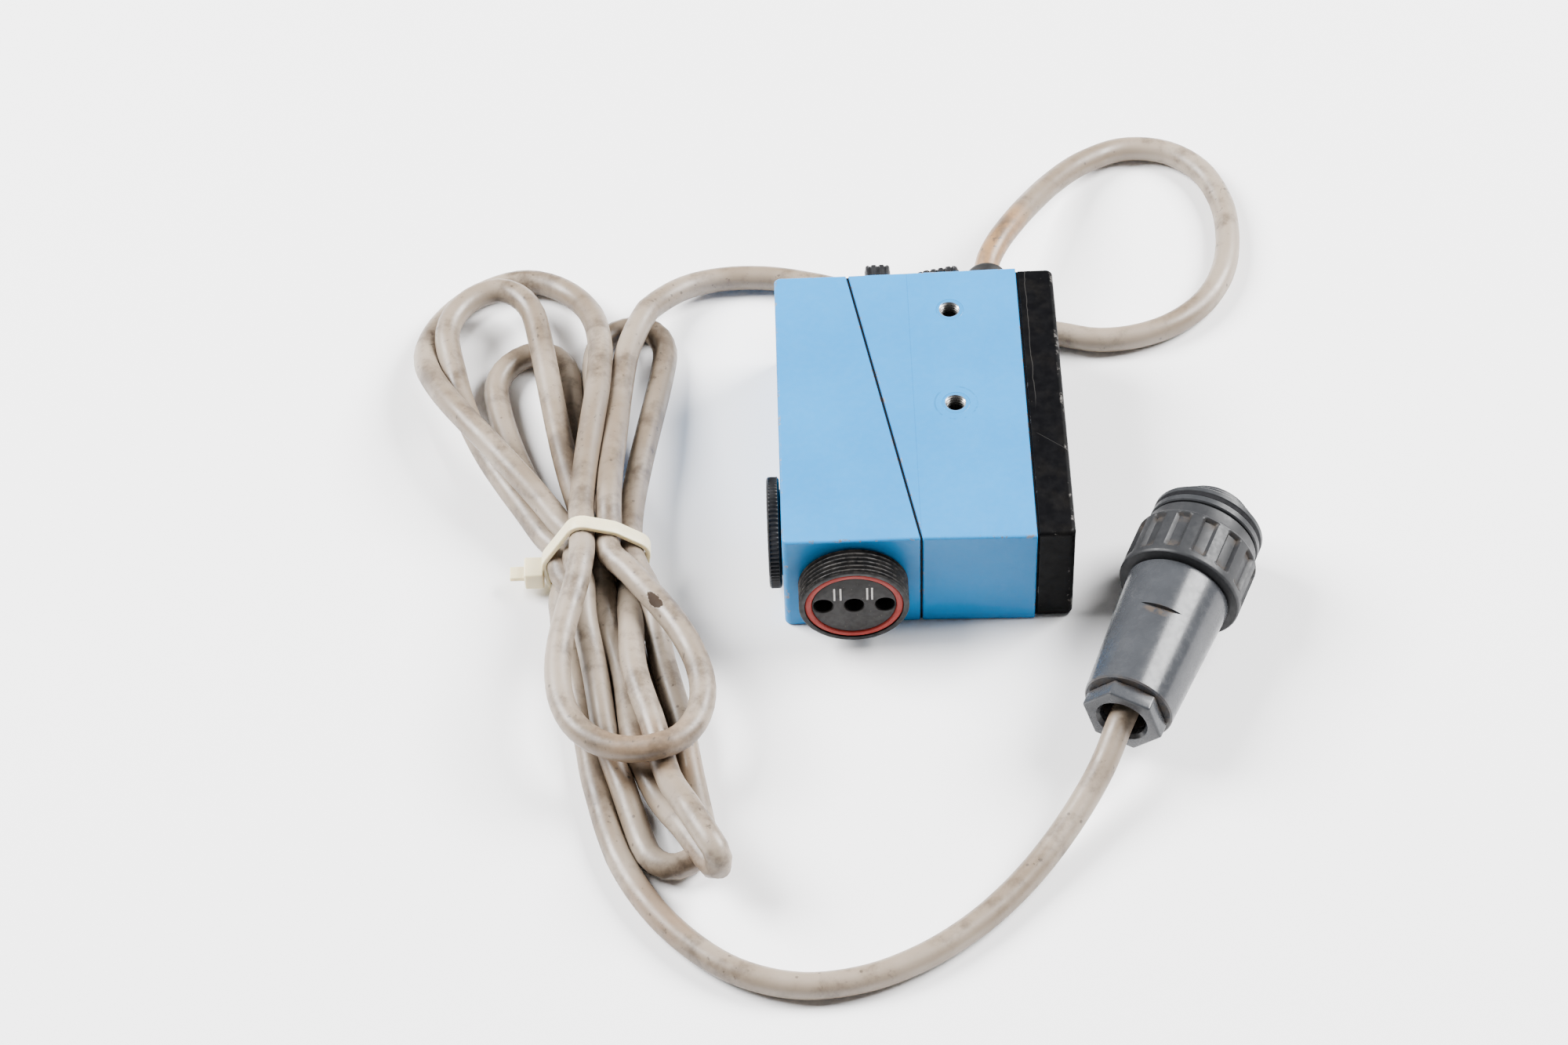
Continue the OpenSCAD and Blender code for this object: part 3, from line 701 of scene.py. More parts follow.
def blue_paint():
    """Light blue paint on a casting: dust specks, rubbed edges, the washer's mark and a fine line."""
    p = Paint("blue paint", (0.003, 0.18, 0.45), 0.4, specular=0.2)
    x, y, z = p.split()
    tone = p.mix(p.ramp(p.noise(25, 3), 0.3, 0.7), (0.002, 0.170, 0.43), (0.003, 0.190, 0.47))
    dust = p.ramp(p.noise(6, 5, 0.7), 0.52, 0.75)
    tone = p.mix(p.times(dust, 0.10), tone, (0.05, 0.17, 0.30))
    specks = p.ramp(p.cells(4.5), 0.015, 0.035, (1.0, 0.0))
    where = p.ramp(p.noise(14, 2), 0.56, 0.64)
    tone = p.mix(p.times(p.times(specks, where), 0.35), tone, (0.06, 0.07, 0.07))
    across = p.minus(x, centre("front_thread_insert").x)
    along = p.minus(y, centre("front_thread_insert").y)
    away = p.math("SQRT", p.plus(p.times(across, across), p.times(along, along)))
    washer = p.line(away, 4.9 * MM, 0.25, 0.15)
    broken = p.ramp(p.noise(3, 3), 0.42, 0.55)
    tone = p.mix(p.times(p.times(washer, broken), 0.35), tone, (0.01, 0.06, 0.12))
    fine_line_x = LEFT_X + 31.4 * MM
    witness = p.times(p.line(x, fine_line_x, 0.10, 0.10), top_face(p, z))
    tone = p.mix(p.times(witness, 0.3), tone, (0.002, 0.08, 0.22))
    rub = p.times(p.wear(), p.ramp(p.noise(2.4, 5, 0.7), 0.56, 0.62))
    tone = p.mix(p.times(rub, 0.85), tone, (0.20, 0.175, 0.15))
    p.color(tone)
    p.metal(p.times(rub, 0.5))
    p.rough(p.grain(1.6, 0.30, 0.48))
    relief = p.minus(p.noise(0.9, 3), p.times(rub, 0.8))
    p.bump(p.minus(relief, p.times(witness, 0.5)), 0.05, 0.5)
    return p.material


def black_paint():
    """Black satin paint, rubbed to bare metal on its edges and scratched beside the seam."""
    p = Paint("black paint", (0.003, 0.003, 0.0033), 0.4, specular=0.05)
    x, y, z = p.split()
    tone = p.mix(p.ramp(p.noise(7, 5, 0.65), 0.45, 0.75), (0.0019, 0.0019, 0.0023), (0.0048, 0.0044, 0.0041))
    specks = p.ramp(p.cells(2.6), 0.03, 0.06, (0.4, 0.0))
    tone = p.mix(specks, tone, (0.035, 0.03, 0.027))
    wander = p.times(p.minus(p.noise(5, 3), 0.5), 0.9 * MM)
    from_seam = p.minus(p.minus(x, SEAM_X), wander)
    back_half = p.ramp(y, FRONT_Y + 36 * MM, FRONT_Y + 44 * MM)
    scratch = p.times(p.line(from_seam, 2.0 * MM, 0.05, 0.10), back_half)
    slant = p.plus(y, p.times(x, 0.8))
    cross = p.line(slant, FRONT_Y + 52 * MM, 0.04, 0.08)
    cross = p.times(cross, p.ramp(x, SEAM_X + 1.4 * MM, SEAM_X + 2.2 * MM))
    marks = p.times(p.larger(scratch, cross), top_face(p, z))
    tone = p.mix(p.times(marks, 0.25), tone, (0.08, 0.075, 0.07))
    rub = p.times(p.wear(), p.ramp(p.noise(4.5, 6, 0.75), 0.575, 0.63))
    tone = p.mix(rub, tone, (0.075, 0.07, 0.066))
    p.color(tone)
    p.metal(p.times(rub, 0.9))
    p.rough(p.grain(2.5, 0.33, 0.52))
    relief = p.minus(p.noise(0.8, 3), p.times(p.larger(rub, marks), 0.7))
    p.bump(relief, 0.05, 0.5)
    return p.material


def thread_black():
    """Black barrel with dust and bare metal on its thread crests."""
    p = Paint("barrel black", (0.01, 0.01, 0.011), 0.45, specular=0.2)
    crest = p.times(p.wear(), p.ramp(p.noise(1.5, 5, 0.7), 0.40, 0.62))
    tone = p.mix(p.ramp(p.noise(3, 4), 0.4, 0.7), (0.004, 0.004, 0.0043), (0.012, 0.011, 0.0105))
    p.color(p.mix(p.times(crest, 0.45), tone, (0.075, 0.070, 0.065)))
    p.rough(p.grain(1.2, 0.35, 0.6))
    p.bump(p.noise(0.7, 4), 0.03, 0.5)
    return p.material


def face_plate():
    """Dark grey disc with dust specks, and white tick marks between its bores."""
    p = Paint("face plate", (0.02, 0.019, 0.019), 0.5, specular=0.15)
    x, _, z = p.split()
    tone = p.mix(p.noise(4, 4), (0.012, 0.011, 0.011), (0.025, 0.023, 0.022))
    specks = p.ramp(p.cells(1.1), 0.06, 0.16, (0.55, 0.0))
    few = p.ramp(p.noise(2.5, 2), 0.48, 0.56)
    tone = p.mix(p.times(specks, few), tone, (0.12, 0.105, 0.09))
    middle = centre("fibre_face_plate")
    high_enough = p.line(z, middle.z + 4.0 * MM, 4.2, 0.05)
    ticks = None
    for offset in (-4.4, -3.0, 3.0, 4.1):
        tick = p.line(x, middle.x + offset * MM, 0.35, 0.05)
        ticks = tick if ticks is None else p.larger(ticks, tick)
    worn = p.ramp(p.noise(0.8, 3), 0.30, 0.42)
    ticks = p.times(p.times(ticks, high_enough), worn)
    p.color(p.mix(p.times(ticks, 0.9), tone, (0.62, 0.60, 0.57)))
    p.rough(p.grain(1.2, 0.42, 0.62))
    p.bump(p.noise(0.6, 3), 0.03, 0.5)
    return p.material


def insert_steel():
    """Steel thread insert, painted blue over its rim, with painted shade that darkens the steel towards the
    bottom of its bore.
    """
    p = Paint("insert steel", (0.4, 0.39, 0.375), 0.3, 1.0)
    height = p.split()[2]
    # Painted shade: 1 deep in the bore and 0 at its mouth. The same ramp also makes the steel less metallic
    # and rougher down the bore.
    depth_shade = p.ramp(height, TOP_Z - 3.6 * MM, TOP_Z - 0.2 * MM, (1.0, 0.0))
    rim = p.ramp(height, TOP_Z - 0.12 * MM, TOP_Z - 0.06 * MM)
    # Painted shade: the steel's colour is mixed towards near black the deeper it lies in the bore.
    bore = p.mix(p.times(depth_shade, 0.97), (0.4, 0.39, 0.375), (0.012, 0.011, 0.01))
    p.color(p.mix(rim, bore, (0.003, 0.17, 0.42)))
    bare = p.ramp(depth_shade, 0.0, 1.0, (1.0, 0.4))
    p.metal(p.times(bare, p.minus(1.0, rim)))
    p.rough(p.ramp(depth_shade, 0.0, 1.0, (0.28, 0.6)))
    return p.material


def grimy_plastic(name, color, rough, amount, coat, patches=()):
    """Moulded plastic with brown grime where the wear value is set and in patches, and light scuffs."""
    grime = (0.05, 0.035, 0.023)
    p = Paint(name, color, rough, specular=0.22, Coat_Weight=coat, Coat_Roughness=0.15)
    tone = p.mix(p.ramp(p.noise(8, 4), 0.3, 0.7), [c * 0.9 for c in color], [c * 1.12 for c in color])
    scuffs = p.ramp(p.noise(4, 3, 0.6), 0.58, 0.72)
    tone = p.mix(p.times(scuffs, 0.05), tone, (0.10, 0.097, 0.094))
    dirty = p.wear()
    for place, radii in patches:
        inside = p.ramp(p.near(place, radii, PLUG_TURN), 0.6, 1.1, (1.0, 0.0))
        dirty = p.larger(dirty, inside)
    dirt = p.times(dirty, p.ramp(p.noise(1.8, 5, 0.7), 0.36, 0.62))
    p.color(p.mix(p.times(dirt, amount), tone, grime))
    grain = p.grain(1.6, rough - 0.05, rough + 0.08)
    p.rough(p.plus(grain, p.times(dirt, 0.35)))
    p.bump(p.noise(4, 2), 0.03, 0.2)
    return p.material


def plug_patches():
    """Places of the grime behind the nut and in the notch on the plug's body."""
    top = Vector((0, 0, 1))
    return [(PLUG_FACE + PLUG_AXIS * 4 * MM, (1.6, 12, 12)),
            (PLUG_FACE + PLUG_AXIS * 24 * MM + top * 10.8 * MM, (1.6, 4.2, 1.6))]


def nylon():
    """Yellowed, slightly translucent nylon."""
    p = Paint("tie nylon", (0.68, 0.62, 0.44), 0.38, Subsurface_Weight=0.45, Subsurface_Scale=0.002)
    p.set("Subsurface Radius", (1.0, 0.8, 0.5))
    p.color(p.mix(p.noise(5, 3), (0.62, 0.54, 0.34), (0.72, 0.65, 0.44)))
    p.bump(p.noise(1.5, 3), 0.03, 0.4)
    return p.material


FINISHES = {
    "gasket_rubber": plain("gasket rubber", (0.006, 0.006, 0.007), 0.8, specular=0.1),
    "screw_steel": plain("screw steel", (0.56, 0.55, 0.53), 0.32, 1.0),
    "insert_steel": insert_steel(),
    "seal_red": plain("seal red", (0.24, 0.018, 0.012), 0.5, specular=0.2),
    "optic_black": plain("optic black", (0.012, 0.012, 0.012), 0.6),
    "board_green": plain("board green", (0.015, 0.13, 0.06), 0.35),
    "part_black": plain("part black", (0.025, 0.025, 0.025), 0.5),
    "led_red": plain("red lens", (0.6, 0.03, 0.02), 0.15, Transmission_Weight=0.5),
    "led_dark": plain("dark lens", (0.08, 0.02, 0.1), 0.15, Transmission_Weight=0.4),
    "diode_clear": plain("clear lens", (0.35, 0.38, 0.42), 0.12, Transmission_Weight=0.7),
    "ribbon_grey": plain("ribbon grey", (0.4, 0.4, 0.41), 0.5),
    "cap_black": plain("cap black", (0.010, 0.010, 0.011), 0.42, specular=0.25),
    "oring_brown": plain("ring brown", (0.1, 0.04, 0.025), 0.6),
    "pot_blue": plain("potentiometer blue", (0.04, 0.1, 0.35), 0.4),
    "switch_grey": plain("switch grey", (0.07, 0.08, 0.09), 0.45),
    "shaft_steel": plain("shaft steel", (0.55, 0.54, 0.53), 0.28, 1.0),
    "knob_black": plain("knob black", (0.012, 0.012, 0.013), 0.36, specular=0.3),
    "lens_yellow": plain("lens yellow", (0.75, 0.45, 0.03), 0.2, Transmission_Weight=0.5),
    "boot_black": plain("boot black", (0.009, 0.009, 0.009), 0.55, specular=0.25),
    "core_brown": plain("core brown", (0.18, 0.07, 0.03), 0.45),
    "contact_brass": plain("contact gilt", (0.8, 0.58, 0.25), 0.22, 1.0),
    "blue_paint": blue_paint(),
    "black_paint": black_paint(),
    "barrel_black": thread_black(),
    "plate_grey": face_plate(),
    "tie_nylon": nylon(),
    "plug_grey": grimy_plastic("plug grey", (0.034, 0.036, 0.040), 0.24, 0.8, 0.15, plug_patches()),
    "ring_grey": grimy_plastic("ring grey", (0.017, 0.0175, 0.019), 0.42, 0.55, 0.0),
    "insert_grey": grimy_plastic("insert grey", (0.020, 0.021, 0.023), 0.4, 0.5, 0.0),
}

# The slot of each CAD node that stays as it is
NODE_SLOTS = {
    "gasket_rubber": ("parting_gasket", "cover_gasket", "shaft_seals", "plug_clamp_seal", "plug_gasket"),
    "screw_steel": ("cover_screws", "housing_screws", "head_nut", "cable_clamp"),
    "optic_black": ("fibre_sleeves",),
    "board_green": ("optics_board", "main_board"),
    "part_black": ("board_components",),
    "led_red": ("red_led",),
    "led_dark": ("infrared_led",),
    "diode_clear": ("photodiode",),
    "ribbon_grey": ("board_ribbon",),
    "oring_brown": ("cap_oring",),
    "pot_blue": ("sensitivity_potentiometer",),
    "switch_grey": ("mode_switch",),
    "shaft_steel": ("sensitivity_shaft", "mode_shaft"),
    "lens_yellow": ("status_lens",),
    "core_brown": ("cable_cores",),
    "contact_brass": ("plug_contacts",),
}


def dress_nodes():
    """Gives every CAD node that is shown its finish."""
    for name, nodes in NODE_SLOTS.items():
        for node in nodes:
            shown = frame["nodes"][node]
            shown.data.materials.clear()
            shown.data.materials.append(FINISHES[name])


dress_nodes()


# ---------------------------------------------------------------- housing

BODY_D = 81.0
BODY_H = 30.0
WALL = 2.0
SEAM = 57.3
FLARE = 0.6
# Half the gap at the parting line, and the line's distance from the left face at front and back
HALF_GAP = 0.26
PART_FRONT = 31.4
PART_BACK = 17.3
# Places of the screws as (y, z) and of the thread inserts as (x, y)
PART_SCREWS = [(36, 5.2), (36, 24.8), (74, 5.2), (74, 24.8)]
COVER_SCREWS = [(6, 6), (6, 24), (75, 6), (75, 24)]
THREADS = [(41.1, 39.8), (41.1, 68.8)]
UP = (0, 0, 1)
BACKWARDS = (0, 1, 0)

HOUSING = Matrix.Translation((LEFT_X, FRONT_Y, 0))
HEAD = on_axis((centre("head_barrel").x, FRONT_Y, MID_Z), (0, -1, 0))
PORT = on_axis((LEFT_X, centre("blanking_cap").y, MID_Z), (-1, 0, 0))
PLUG = on_axis(PLUG_FACE, PLUG_AXIS)


def part_x(y):
    """Distance of the parting line from the left face at depth y."""
    return PART_FRONT + (PART_BACK - PART_FRONT) * y / BODY_D


def spot(x, y, z):
    """Place in metres of a point measured from the housing's front left corner."""
    return HOUSING @ (Vector((x, y, z)) * MM)


def on_parting(y, z):
    """Matrix on the parting line's screw axis, pointing into the electronics housing."""
    slope = math.atan((PART_FRONT - PART_BACK) / BODY_D)
    return on_axis(spot(part_x(y), y, z), (math.cos(slope), math.sin(slope), 0))


def on_cover(y, z):
    """Matrix on a cover screw's axis at the seam, pointing into the cover."""
    return on_axis(spot(SEAM, y, z), (1, 0, 0))


def on_back(node, z=MID_Z):
    """Matrix on the axis of something on the back face, pointing out of it."""
    return on_axis((centre(node).x, BACK_Y, z), BACKWARDS)


def block(x, y, z):
    """Cutter box between two x, two y and two z values, measured from the housing's corner."""
    verts = [(a, b, c) for a in x for b in y for c in z]
    faces = [(0, 1, 3, 2), (4, 6, 7, 5), (0, 4, 5, 1), (2, 3, 7, 6), (0, 2, 6, 4), (1, 5, 7, 3)]
    return cutter((verts, faces), HOUSING)


def screw_bosses(screws, reach, x):
    """Blocks round some screws, from the nearer large face to reach past the screw. x gives the
    block's two ends at depth y."""
    blocks = []
    for y, z in screws:
        height = (0, z + reach) if z < BODY_H / 2 else (z - reach, BODY_H)
        blocks.append(block(x(y), (y - 4, y + 4), height))
    return blocks


def casting(node, slot, outside, inside, bosses, holes):
    """A hollow casting with bosses left standing inside it and holes through its walls."""
    shell = piece(node + "_shell", outside, slot, HOUSING, node)
    hollow = cutter(prism(inside, [0.5] * 4, WALL, BODY_H - WALL, 0.3), HOUSING)
    cut(hollow, *bosses)
    cut(shell, hollow, *holes)
    even_normals(shell)


def make_optics_housing():
    """Left casting, with the optical head's bore, the port's bore and four screw holes."""
    back = BODY_D - WALL
    corners = [(0, 0), (part_x(0) - HALF_GAP, 0), (part_x(BODY_D) - HALF_GAP, BODY_D), (0, BODY_D)]
    outside = prism(corners, [1.5, 0.35, 0.35, 1.5], 0, BODY_H, 0.7, [1, 0.5, 1, 1])
    inside = [(WALL, WALL), (part_x(WALL) + 1.6, WALL), (part_x(back) + 1.6, back), (WALL, back)]
    bosses = [block((0, WALL + 1.4), (2.4, 28.4), (0, BODY_H))]
    bosses += screw_bosses(PART_SCREWS, 3.2, lambda y: (part_x(y) - HALF_GAP - 7, part_x(y) + 1))
    holes = [drum(HEAD, 11.05, -4, 2), drum(PORT, 9.95, -6, 2)]
    holes += [drum(on_parting(y, z), 1.55, -7, 2, 24) for y, z in PART_SCREWS]
    casting("optics_housing", "blue_paint", outside, inside, bosses, holes)


def make_electronics_housing():
    """Right casting, with holes for the inserts, knobs, boot, lens and screws."""
    back = BODY_D - WALL
    corners = [(part_x(0) + HALF_GAP, 0), (SEAM, -FLARE), (SEAM, BODY_D + FLARE),
               (part_x(BODY_D) + HALF_GAP, BODY_D)]
    outside = prism(corners, [0.35] * 4, 0, BODY_H, 0.7, [1, 0.4, 1, 0.5])
    inside = [(part_x(WALL) + HALF_GAP + WALL, WALL), (SEAM + 1, WALL - FLARE),
              (SEAM + 1, BODY_D + FLARE - WALL), (part_x(back) + HALF_GAP + WALL, back)]
    bosses = [drum(on_axis(spot(x, y, 20), UP), 4.65, 0, 12) for x, y in THREADS]
    bosses += screw_bosses(COVER_SCREWS, 4, lambda y: (SEAM - 14, SEAM + 2))
    holes = [drum(on_axis(spot(x, y, 23), UP), 3.25, 0, 9) for x, y in THREADS]
    holes += [drum(on_back(n), 2.8, -4, 1, 32) for n in ("sensitivity_knob", "mode_knob")]
    holes.append(drum(on_back("cable_boot"), 4.4, -4, 1, 48))
    holes.append(drum(on_back("status_lens", centre("status_lens").z), 1.5, -4, 1, 32))
    holes += [drum(on_parting(y, z), 1.6, -1, 5, 24) for y, z in PART_SCREWS]
    holes += [drum(on_cover(y, z), 1.55, -9, 3, 24) for y, z in COVER_SCREWS]
    ribbon_y = 21.6
    holes.append(block((part_x(ribbon_y) - 2, part_x(ribbon_y) + 6), (18, 27), (8, 16)))
    casting("electronics_housing", "blue_paint", outside, inside, bosses, holes)


def make_side_cover():
    """Black cover on the right end, with four sunk screw holes."""
    front, back, start = 0.1, BODY_D - 0.1, SEAM + 0.4
    end = (RIGHT_X - LEFT_X) / MM
    corners = [(start, front), (end, front), (end, back), (start, back)]
    outside = prism(corners, [0.3, 1.6, 1.6, 0.3], 0, BODY_H, 1.1, [1, 1, 1, 0.25])
    inside = [(start - 1, front + WALL), (end - WALL, front + WALL),
              (end - WALL, back - WALL), (start - 1, back - WALL)]
    bosses = [drum(on_cover(y, z), 3.6, -1, 9, 32) for y, z in COVER_SCREWS]
    holes = [drum(on_cover(y, z), 1.65, -1, 12, 24) for y, z in COVER_SCREWS]
    holes += [drum(on_cover(y, z), 2.9, 6.7, 12, 48) for y, z in COVER_SCREWS]
    casting("side_cover", "black_paint", outside, inside, bosses, holes)


def saw(turns):
    """Height of a thread's flank, 0 at the root and 1 at the crest."""
    return min(max(abs(turns % 1.0 - 0.5) * 2.6 - 0.15, 0.0), 1.0)


def make_thread_inserts():
    """Steel inserts with an M5 thread inside and a chamfered mouth."""
    pitch, depth, bore_r, thread_h = 0.8, 7, 2.5, 0.38

    def shape(radius, height, angle):
        if radius > bore_r + 0.05:
            return radius
        return radius - thread_h * saw(height / pitch - angle / TAU)

    rows = 70
    bore = [(bore_r, -0.1 - (depth - 0.2) * k / rows) for k in range(rows + 1)]
    profile = [(3.23, -depth), (3.23, -0.05), (3.1, 0), (2.66, 0)] + bore + [(2.6, -depth)]
    for name in ("front_thread_insert", "rear_thread_insert"):
        place = on_axis((centre(name).x, centre(name).y, high(name).z), UP)
        piece(name + "_thread", lathe(profile, 64, True, shape), "insert_steel", place, name, smooth=40)


def make_head():
    """Threaded barrel, red seal ring and the face plate with its three bores."""
    pitch, crest, thread_h, thread_l = 1.15, 12.5, 0.62, 6.3

    def shape(radius, height, angle):
        if radius < crest - 0.3 or not 0.5 < height < 6.6:
            return radius
        return radius - thread_h * (1 - saw(height / pitch - angle / TAU))

    rows = 60
    outer = [(crest, 0.4 + thread_l * k / rows) for k in range(rows + 1)]
    profile = [(11, -7), (11, 0), (12.0, 0.05)] + outer
    profile += [(12.25, 6.95), (12.0, 7), (11.4, 7), (11.22, 6.9), (11.22, 4.8), (9.56, 4.8), (9.56, -7)]
    verts, faces = lathe(profile, 96, True, shape)
    wear = [min(max((math.hypot(x, y) - 12.25) / 0.2, 0), 1) if z > 0.3 else 0 for x, y, z in verts]
    piece("head_barrel_thread", (verts, faces, wear), "barrel_black", HEAD, "head_barrel", smooth=50)
    band = rounded([(9.57, 4.8), (11.2, 4.8), (11.2, 6.8), (9.57, 6.8)], [0.1, 0.1, 0.6, 0.6], 5)
    piece("head_seal_band", lathe(band, 96, True), "seal_red", HEAD, "head_seal_ring")
    disc = [(9.5, 2.5), (9.5, 6.3), (9.44, 6.44), (9.3, 6.5)]
    plate = piece("fibre_face_disc", lathe(disc, 96), "plate_grey", HEAD, "fibre_face_plate")
    mouth = lathe([(2.25, 0), (2.25, 6.3), (2.6, 6.65)], 48)
    cut(plate, *[cutter(mouth, HEAD @ Matrix.Translation((across * MM, 0, 0))) for across in (-7, 0, 7)])


def make_cap():
    """Blanking cap with a fine straight knurl, chamfered rims and a faintly dished face."""
    ridges, rim_r, knurl_h = 72, 12.8, 0.32

    def shape(radius, height, angle):
        if radius < rim_r - 0.2 or not 0.75 < height < 2.75:
            return radius
        return radius - knurl_h * (0.5 - 0.5 * math.cos(angle * ridges))

    outside = [(8.3, -4), (9.9, -4), (9.9, -2.75), (9.3, -2.45), (9.3, -1.35), (9.9, -1.05), (9.9, 0.3),
               (12.2, 0.3), (12.5, 0.5)]
    outside += [(rim_r, height) for height in (0.7, 0.8, 1.4, 2.1, 2.7, 2.8)]
    outside += [(12.3, 3.2), (11.6, 3.2), (11.4, 3.12), (11.2, 3.05), (0.3, 3.05)]
    inside = [(8.3, -4), (8.3, 0), (0.3, 0)]
    parts = []
    for verts, faces in (lathe(outside, ridges * 6, False, shape), lathe(inside, ridges * 6)):
        parts.append((verts, faces[:-2] + faces[-1:]))
    piece("blanking_cap_knurled", joined(*parts), "cap_black", PORT, "blanking_cap", "port_cap", 40)


# ---------------------------------------------------------------- knobs and boot

def extrude(outline, levels):
    """Closed outline of (x, y) swept along +Z through levels of (scale, height)."""
    verts = [(x * f, y * f, z) for f, z in levels for x, y in outline]
    return verts, stacked(len(levels), len(outline))


def grip_outline(half_w, half_l, corner, pitch, depth):
    """Outline of a knob's bar: a rounded bar with upright ribs all the way round."""
    corners = [(-half_w, -half_l), (half_w, -half_l), (half_w, half_l), (-half_w, half_l)]
    path = rounded(corners, corner, 6)
    path.append(path[0])
    steps = [math.dist(a, b) for a, b in zip(path, path[1:])]
    total = sum(steps)
    per_rib = 8
    count = round(total / pitch) * per_rib
    outline = []
    for k in range(count):
        along = total * k / count
        number = 0
        while along > steps[number]:
            along -= steps[number]
            number += 1
        (x0, y0), (x1, y1) = path[number], path[number + 1]
        share = along / steps[number]
        out = Vector((y1 - y0, x0 - x1)).normalized()
        sunk = depth * ease(abs(2 * (k / per_rib % 1) - 1) * 2.2 - 0.9)
        outline.append((x0 + (x1 - x0) * share - out.x * sunk, y0 + (y1 - y0) * share - out.y * sunk))
    return outline


def make_knob(node, body, turn):
    """Knob with a round flange and a ribbed grip bar."""
    place = on_back(node) @ Matrix.Rotation(math.radians(turn), 4, "Z")
    flange = [(5.4, 0.3), (5.6, 0.5), (5.6, 1.9), (5.35, 2.25)]
    bar = grip_outline(half_w=3.1, half_l=5.25, corner=1.3, pitch=1.9, depth=0.6)
    levels = [(1.0, 2.1), (1.0, 11.2), (0.98, 11.65), (0.93, 11.9), (0.87, 12)]
    disc = piece(node + "_flange", lathe(flange, 64), "knob_black", place, body=body)
    grip = piece(node + "_grip", extrude(bar, levels), "knob_black", place, node, body, 45)
    for part in (disc, grip):
        cut(part, drum(on_back(node), 1.5, -1, 8.6, 32), smooth=38)


def make_boot():
    """Rubber cable boot with a stepped root and a domed tip."""
    profile = [(0.6, -4.4), (4.35, -4.4), (4.35, 0), (5.2, 0), (5.4, 0.25), (5.4, 1.7), (5.3, 2.1),
               (5.2, 2.4), (5.18, 3), (5.15, 5), (5.12, 7), (5.1, 9.6)]
    dome = [math.radians(12 * k) for k in range(8)]
    profile += [(3.1 + 2.0 * math.cos(a), 10.1 + 2.1 * math.sin(a)) for a in dome]
    profile += [(3.05, 12.2), (3.02, 11), (0.6, 11)]
    place = on_back("cable_boot")
    piece("cable_boot_rubber", lathe(profile, 64), "boot_black", place, "cable_boot", smooth=45)


# ---------------------------------------------------------------- plug

# Sizes of the plug. Its starts, its ends and the notch are heights along its axis, from the face
# that the cable goes into
NUT_FLATS = 16.3
NUT_L = 4
NUT_TURN = math.radians(10)
SHELL_START = 4.1
NOTCH = 25.2
RING_START = 38.3
RING_END = 55
RING_R = 14.25
FLUTES = 14
FLUTE_R = 0.9


def make_plug_nut():
    """Hexagonal clamp nut with a coned mouth, and the stem that it is screwed on."""
    corner = NUT_FLATS / 2 / math.cos(TAU / 12)
    turns = [TAU * k / 6 + NUT_TURN for k in range(6)]
    hexagon = [(corner * math.cos(a), corner * math.sin(a)) for a in turns]
    body = prism(hexagon, [0.6] * 6, 0, NUT_L, 0.5, corner_steps=4, edge_steps=4)
    nut = piece("plug_nut", body[:2], "plug_grey", PLUG, "plug_clamp_nut")
    sleeve = lathe([(7.9, 3.9), (7.9, 11.5), (7.5, 12)], 64)
    stem = piece("plug_nut_stem", sleeve, "plug_grey", PLUG)
    cone = lathe([(6.4, -0.5), (5.3, 1.0)], 48)
    cut(nut, drum(PLUG, 5.35, -1, 14, 48), cutter(cone, PLUG))
    cut(stem, drum(PLUG, 5.35, 0, 14, 48))


def make_plug_shell():
    """Tapered body with a notch moulded in its top."""
    rear, front, bore, start, end = 10.2, 12.0, 8.45, SHELL_START, RING_START - 0.3
    body = [(8.1, start), (rear - 0.3, start), (rear, start + 0.4)]
    body += [(rear + (front - rear) * k / 12, start + (end - start) * k / 12) for k in range(1, 12)]
    body += [(front, end - 0.4), (front - 0.4, end), (10, end + 0.05), (10, RING_END + 0.3),
             (bore, RING_END + 0.3), (bore, 21), (8.1, 20.9)]
    shell = piece("plug_shell", lathe(body, 96, True), "plug_grey", PLUG, "plug_body", smooth=30)
    surface = rear + (front - rear) * (NOTCH - start) / (end - start)
    slope = [(NOTCH, surface + 1), (NOTCH, surface - 1.1), (NOTCH - 2.6, surface + 1)]
    wedge = [(side, height, along) for side in (-7, 7) for along, height in slope]
    sides = [(0, 1, 2), (5, 4, 3), (0, 3, 4, 1), (1, 4, 5, 2), (2, 5, 3, 0)]
    cut(shell, cutter((wedge, sides), PLUG), smooth=30)


def make_ring():
    """Coupling ring with flutes, and a little grime at their ends."""
    start, end, bore = RING_START, RING_END, 10.08
    first, last = start + 1.7, start + 12.2

    def shape(radius, height, angle):
        if radius < RING_R - 0.15:
            return radius
        turn = (angle / TAU * FLUTES + 0.5) % 1.0
        off = abs(turn - 0.5) * TAU * RING_R / FLUTES
        inside = ease((1.85 - off) / 0.55)
        ends = ease(min(height - first, last - height) / 0.9)
        return radius - FLUTE_R * inside * ends

    rows = [0.7, 1.5] + [1.75 + 0.25 * k for k in range(4)] + [3.2 + 1.25 * k for k in range(7)]
    rows += [11.4 + 0.25 * k for k in range(4)]
    profile = [(bore, start), (13.9, start), (14.2, start + 0.3)] + [(RING_R, start + h) for h in rows]
    profile += [(RING_R, end - 4.3), (14.1, end - 4.05), (13.8, end - 3.95), (12.95, end - 3.9),
                (12.85, end - 3.6), (12.85, end - 0.4), (12.5, end), (bore, end)]
    verts, faces = lathe(profile, FLUTES * 20, True, shape)
    wear = []
    for x, y, z in verts:
        sunk = min(max(RING_R - math.hypot(x, y), 0) / 0.6, 1)
        from_end = min(z - first, last - z)
        wear.append(sunk * ease(1.6 - from_end / 1.5) if 0 < from_end and sunk > 0.05 else 0.0)
    ring = (verts, faces, wear)
    piece("plug_ring_fluted", ring, "ring_grey", PLUG, "plug_coupling_ring", "plug_ring", 40)


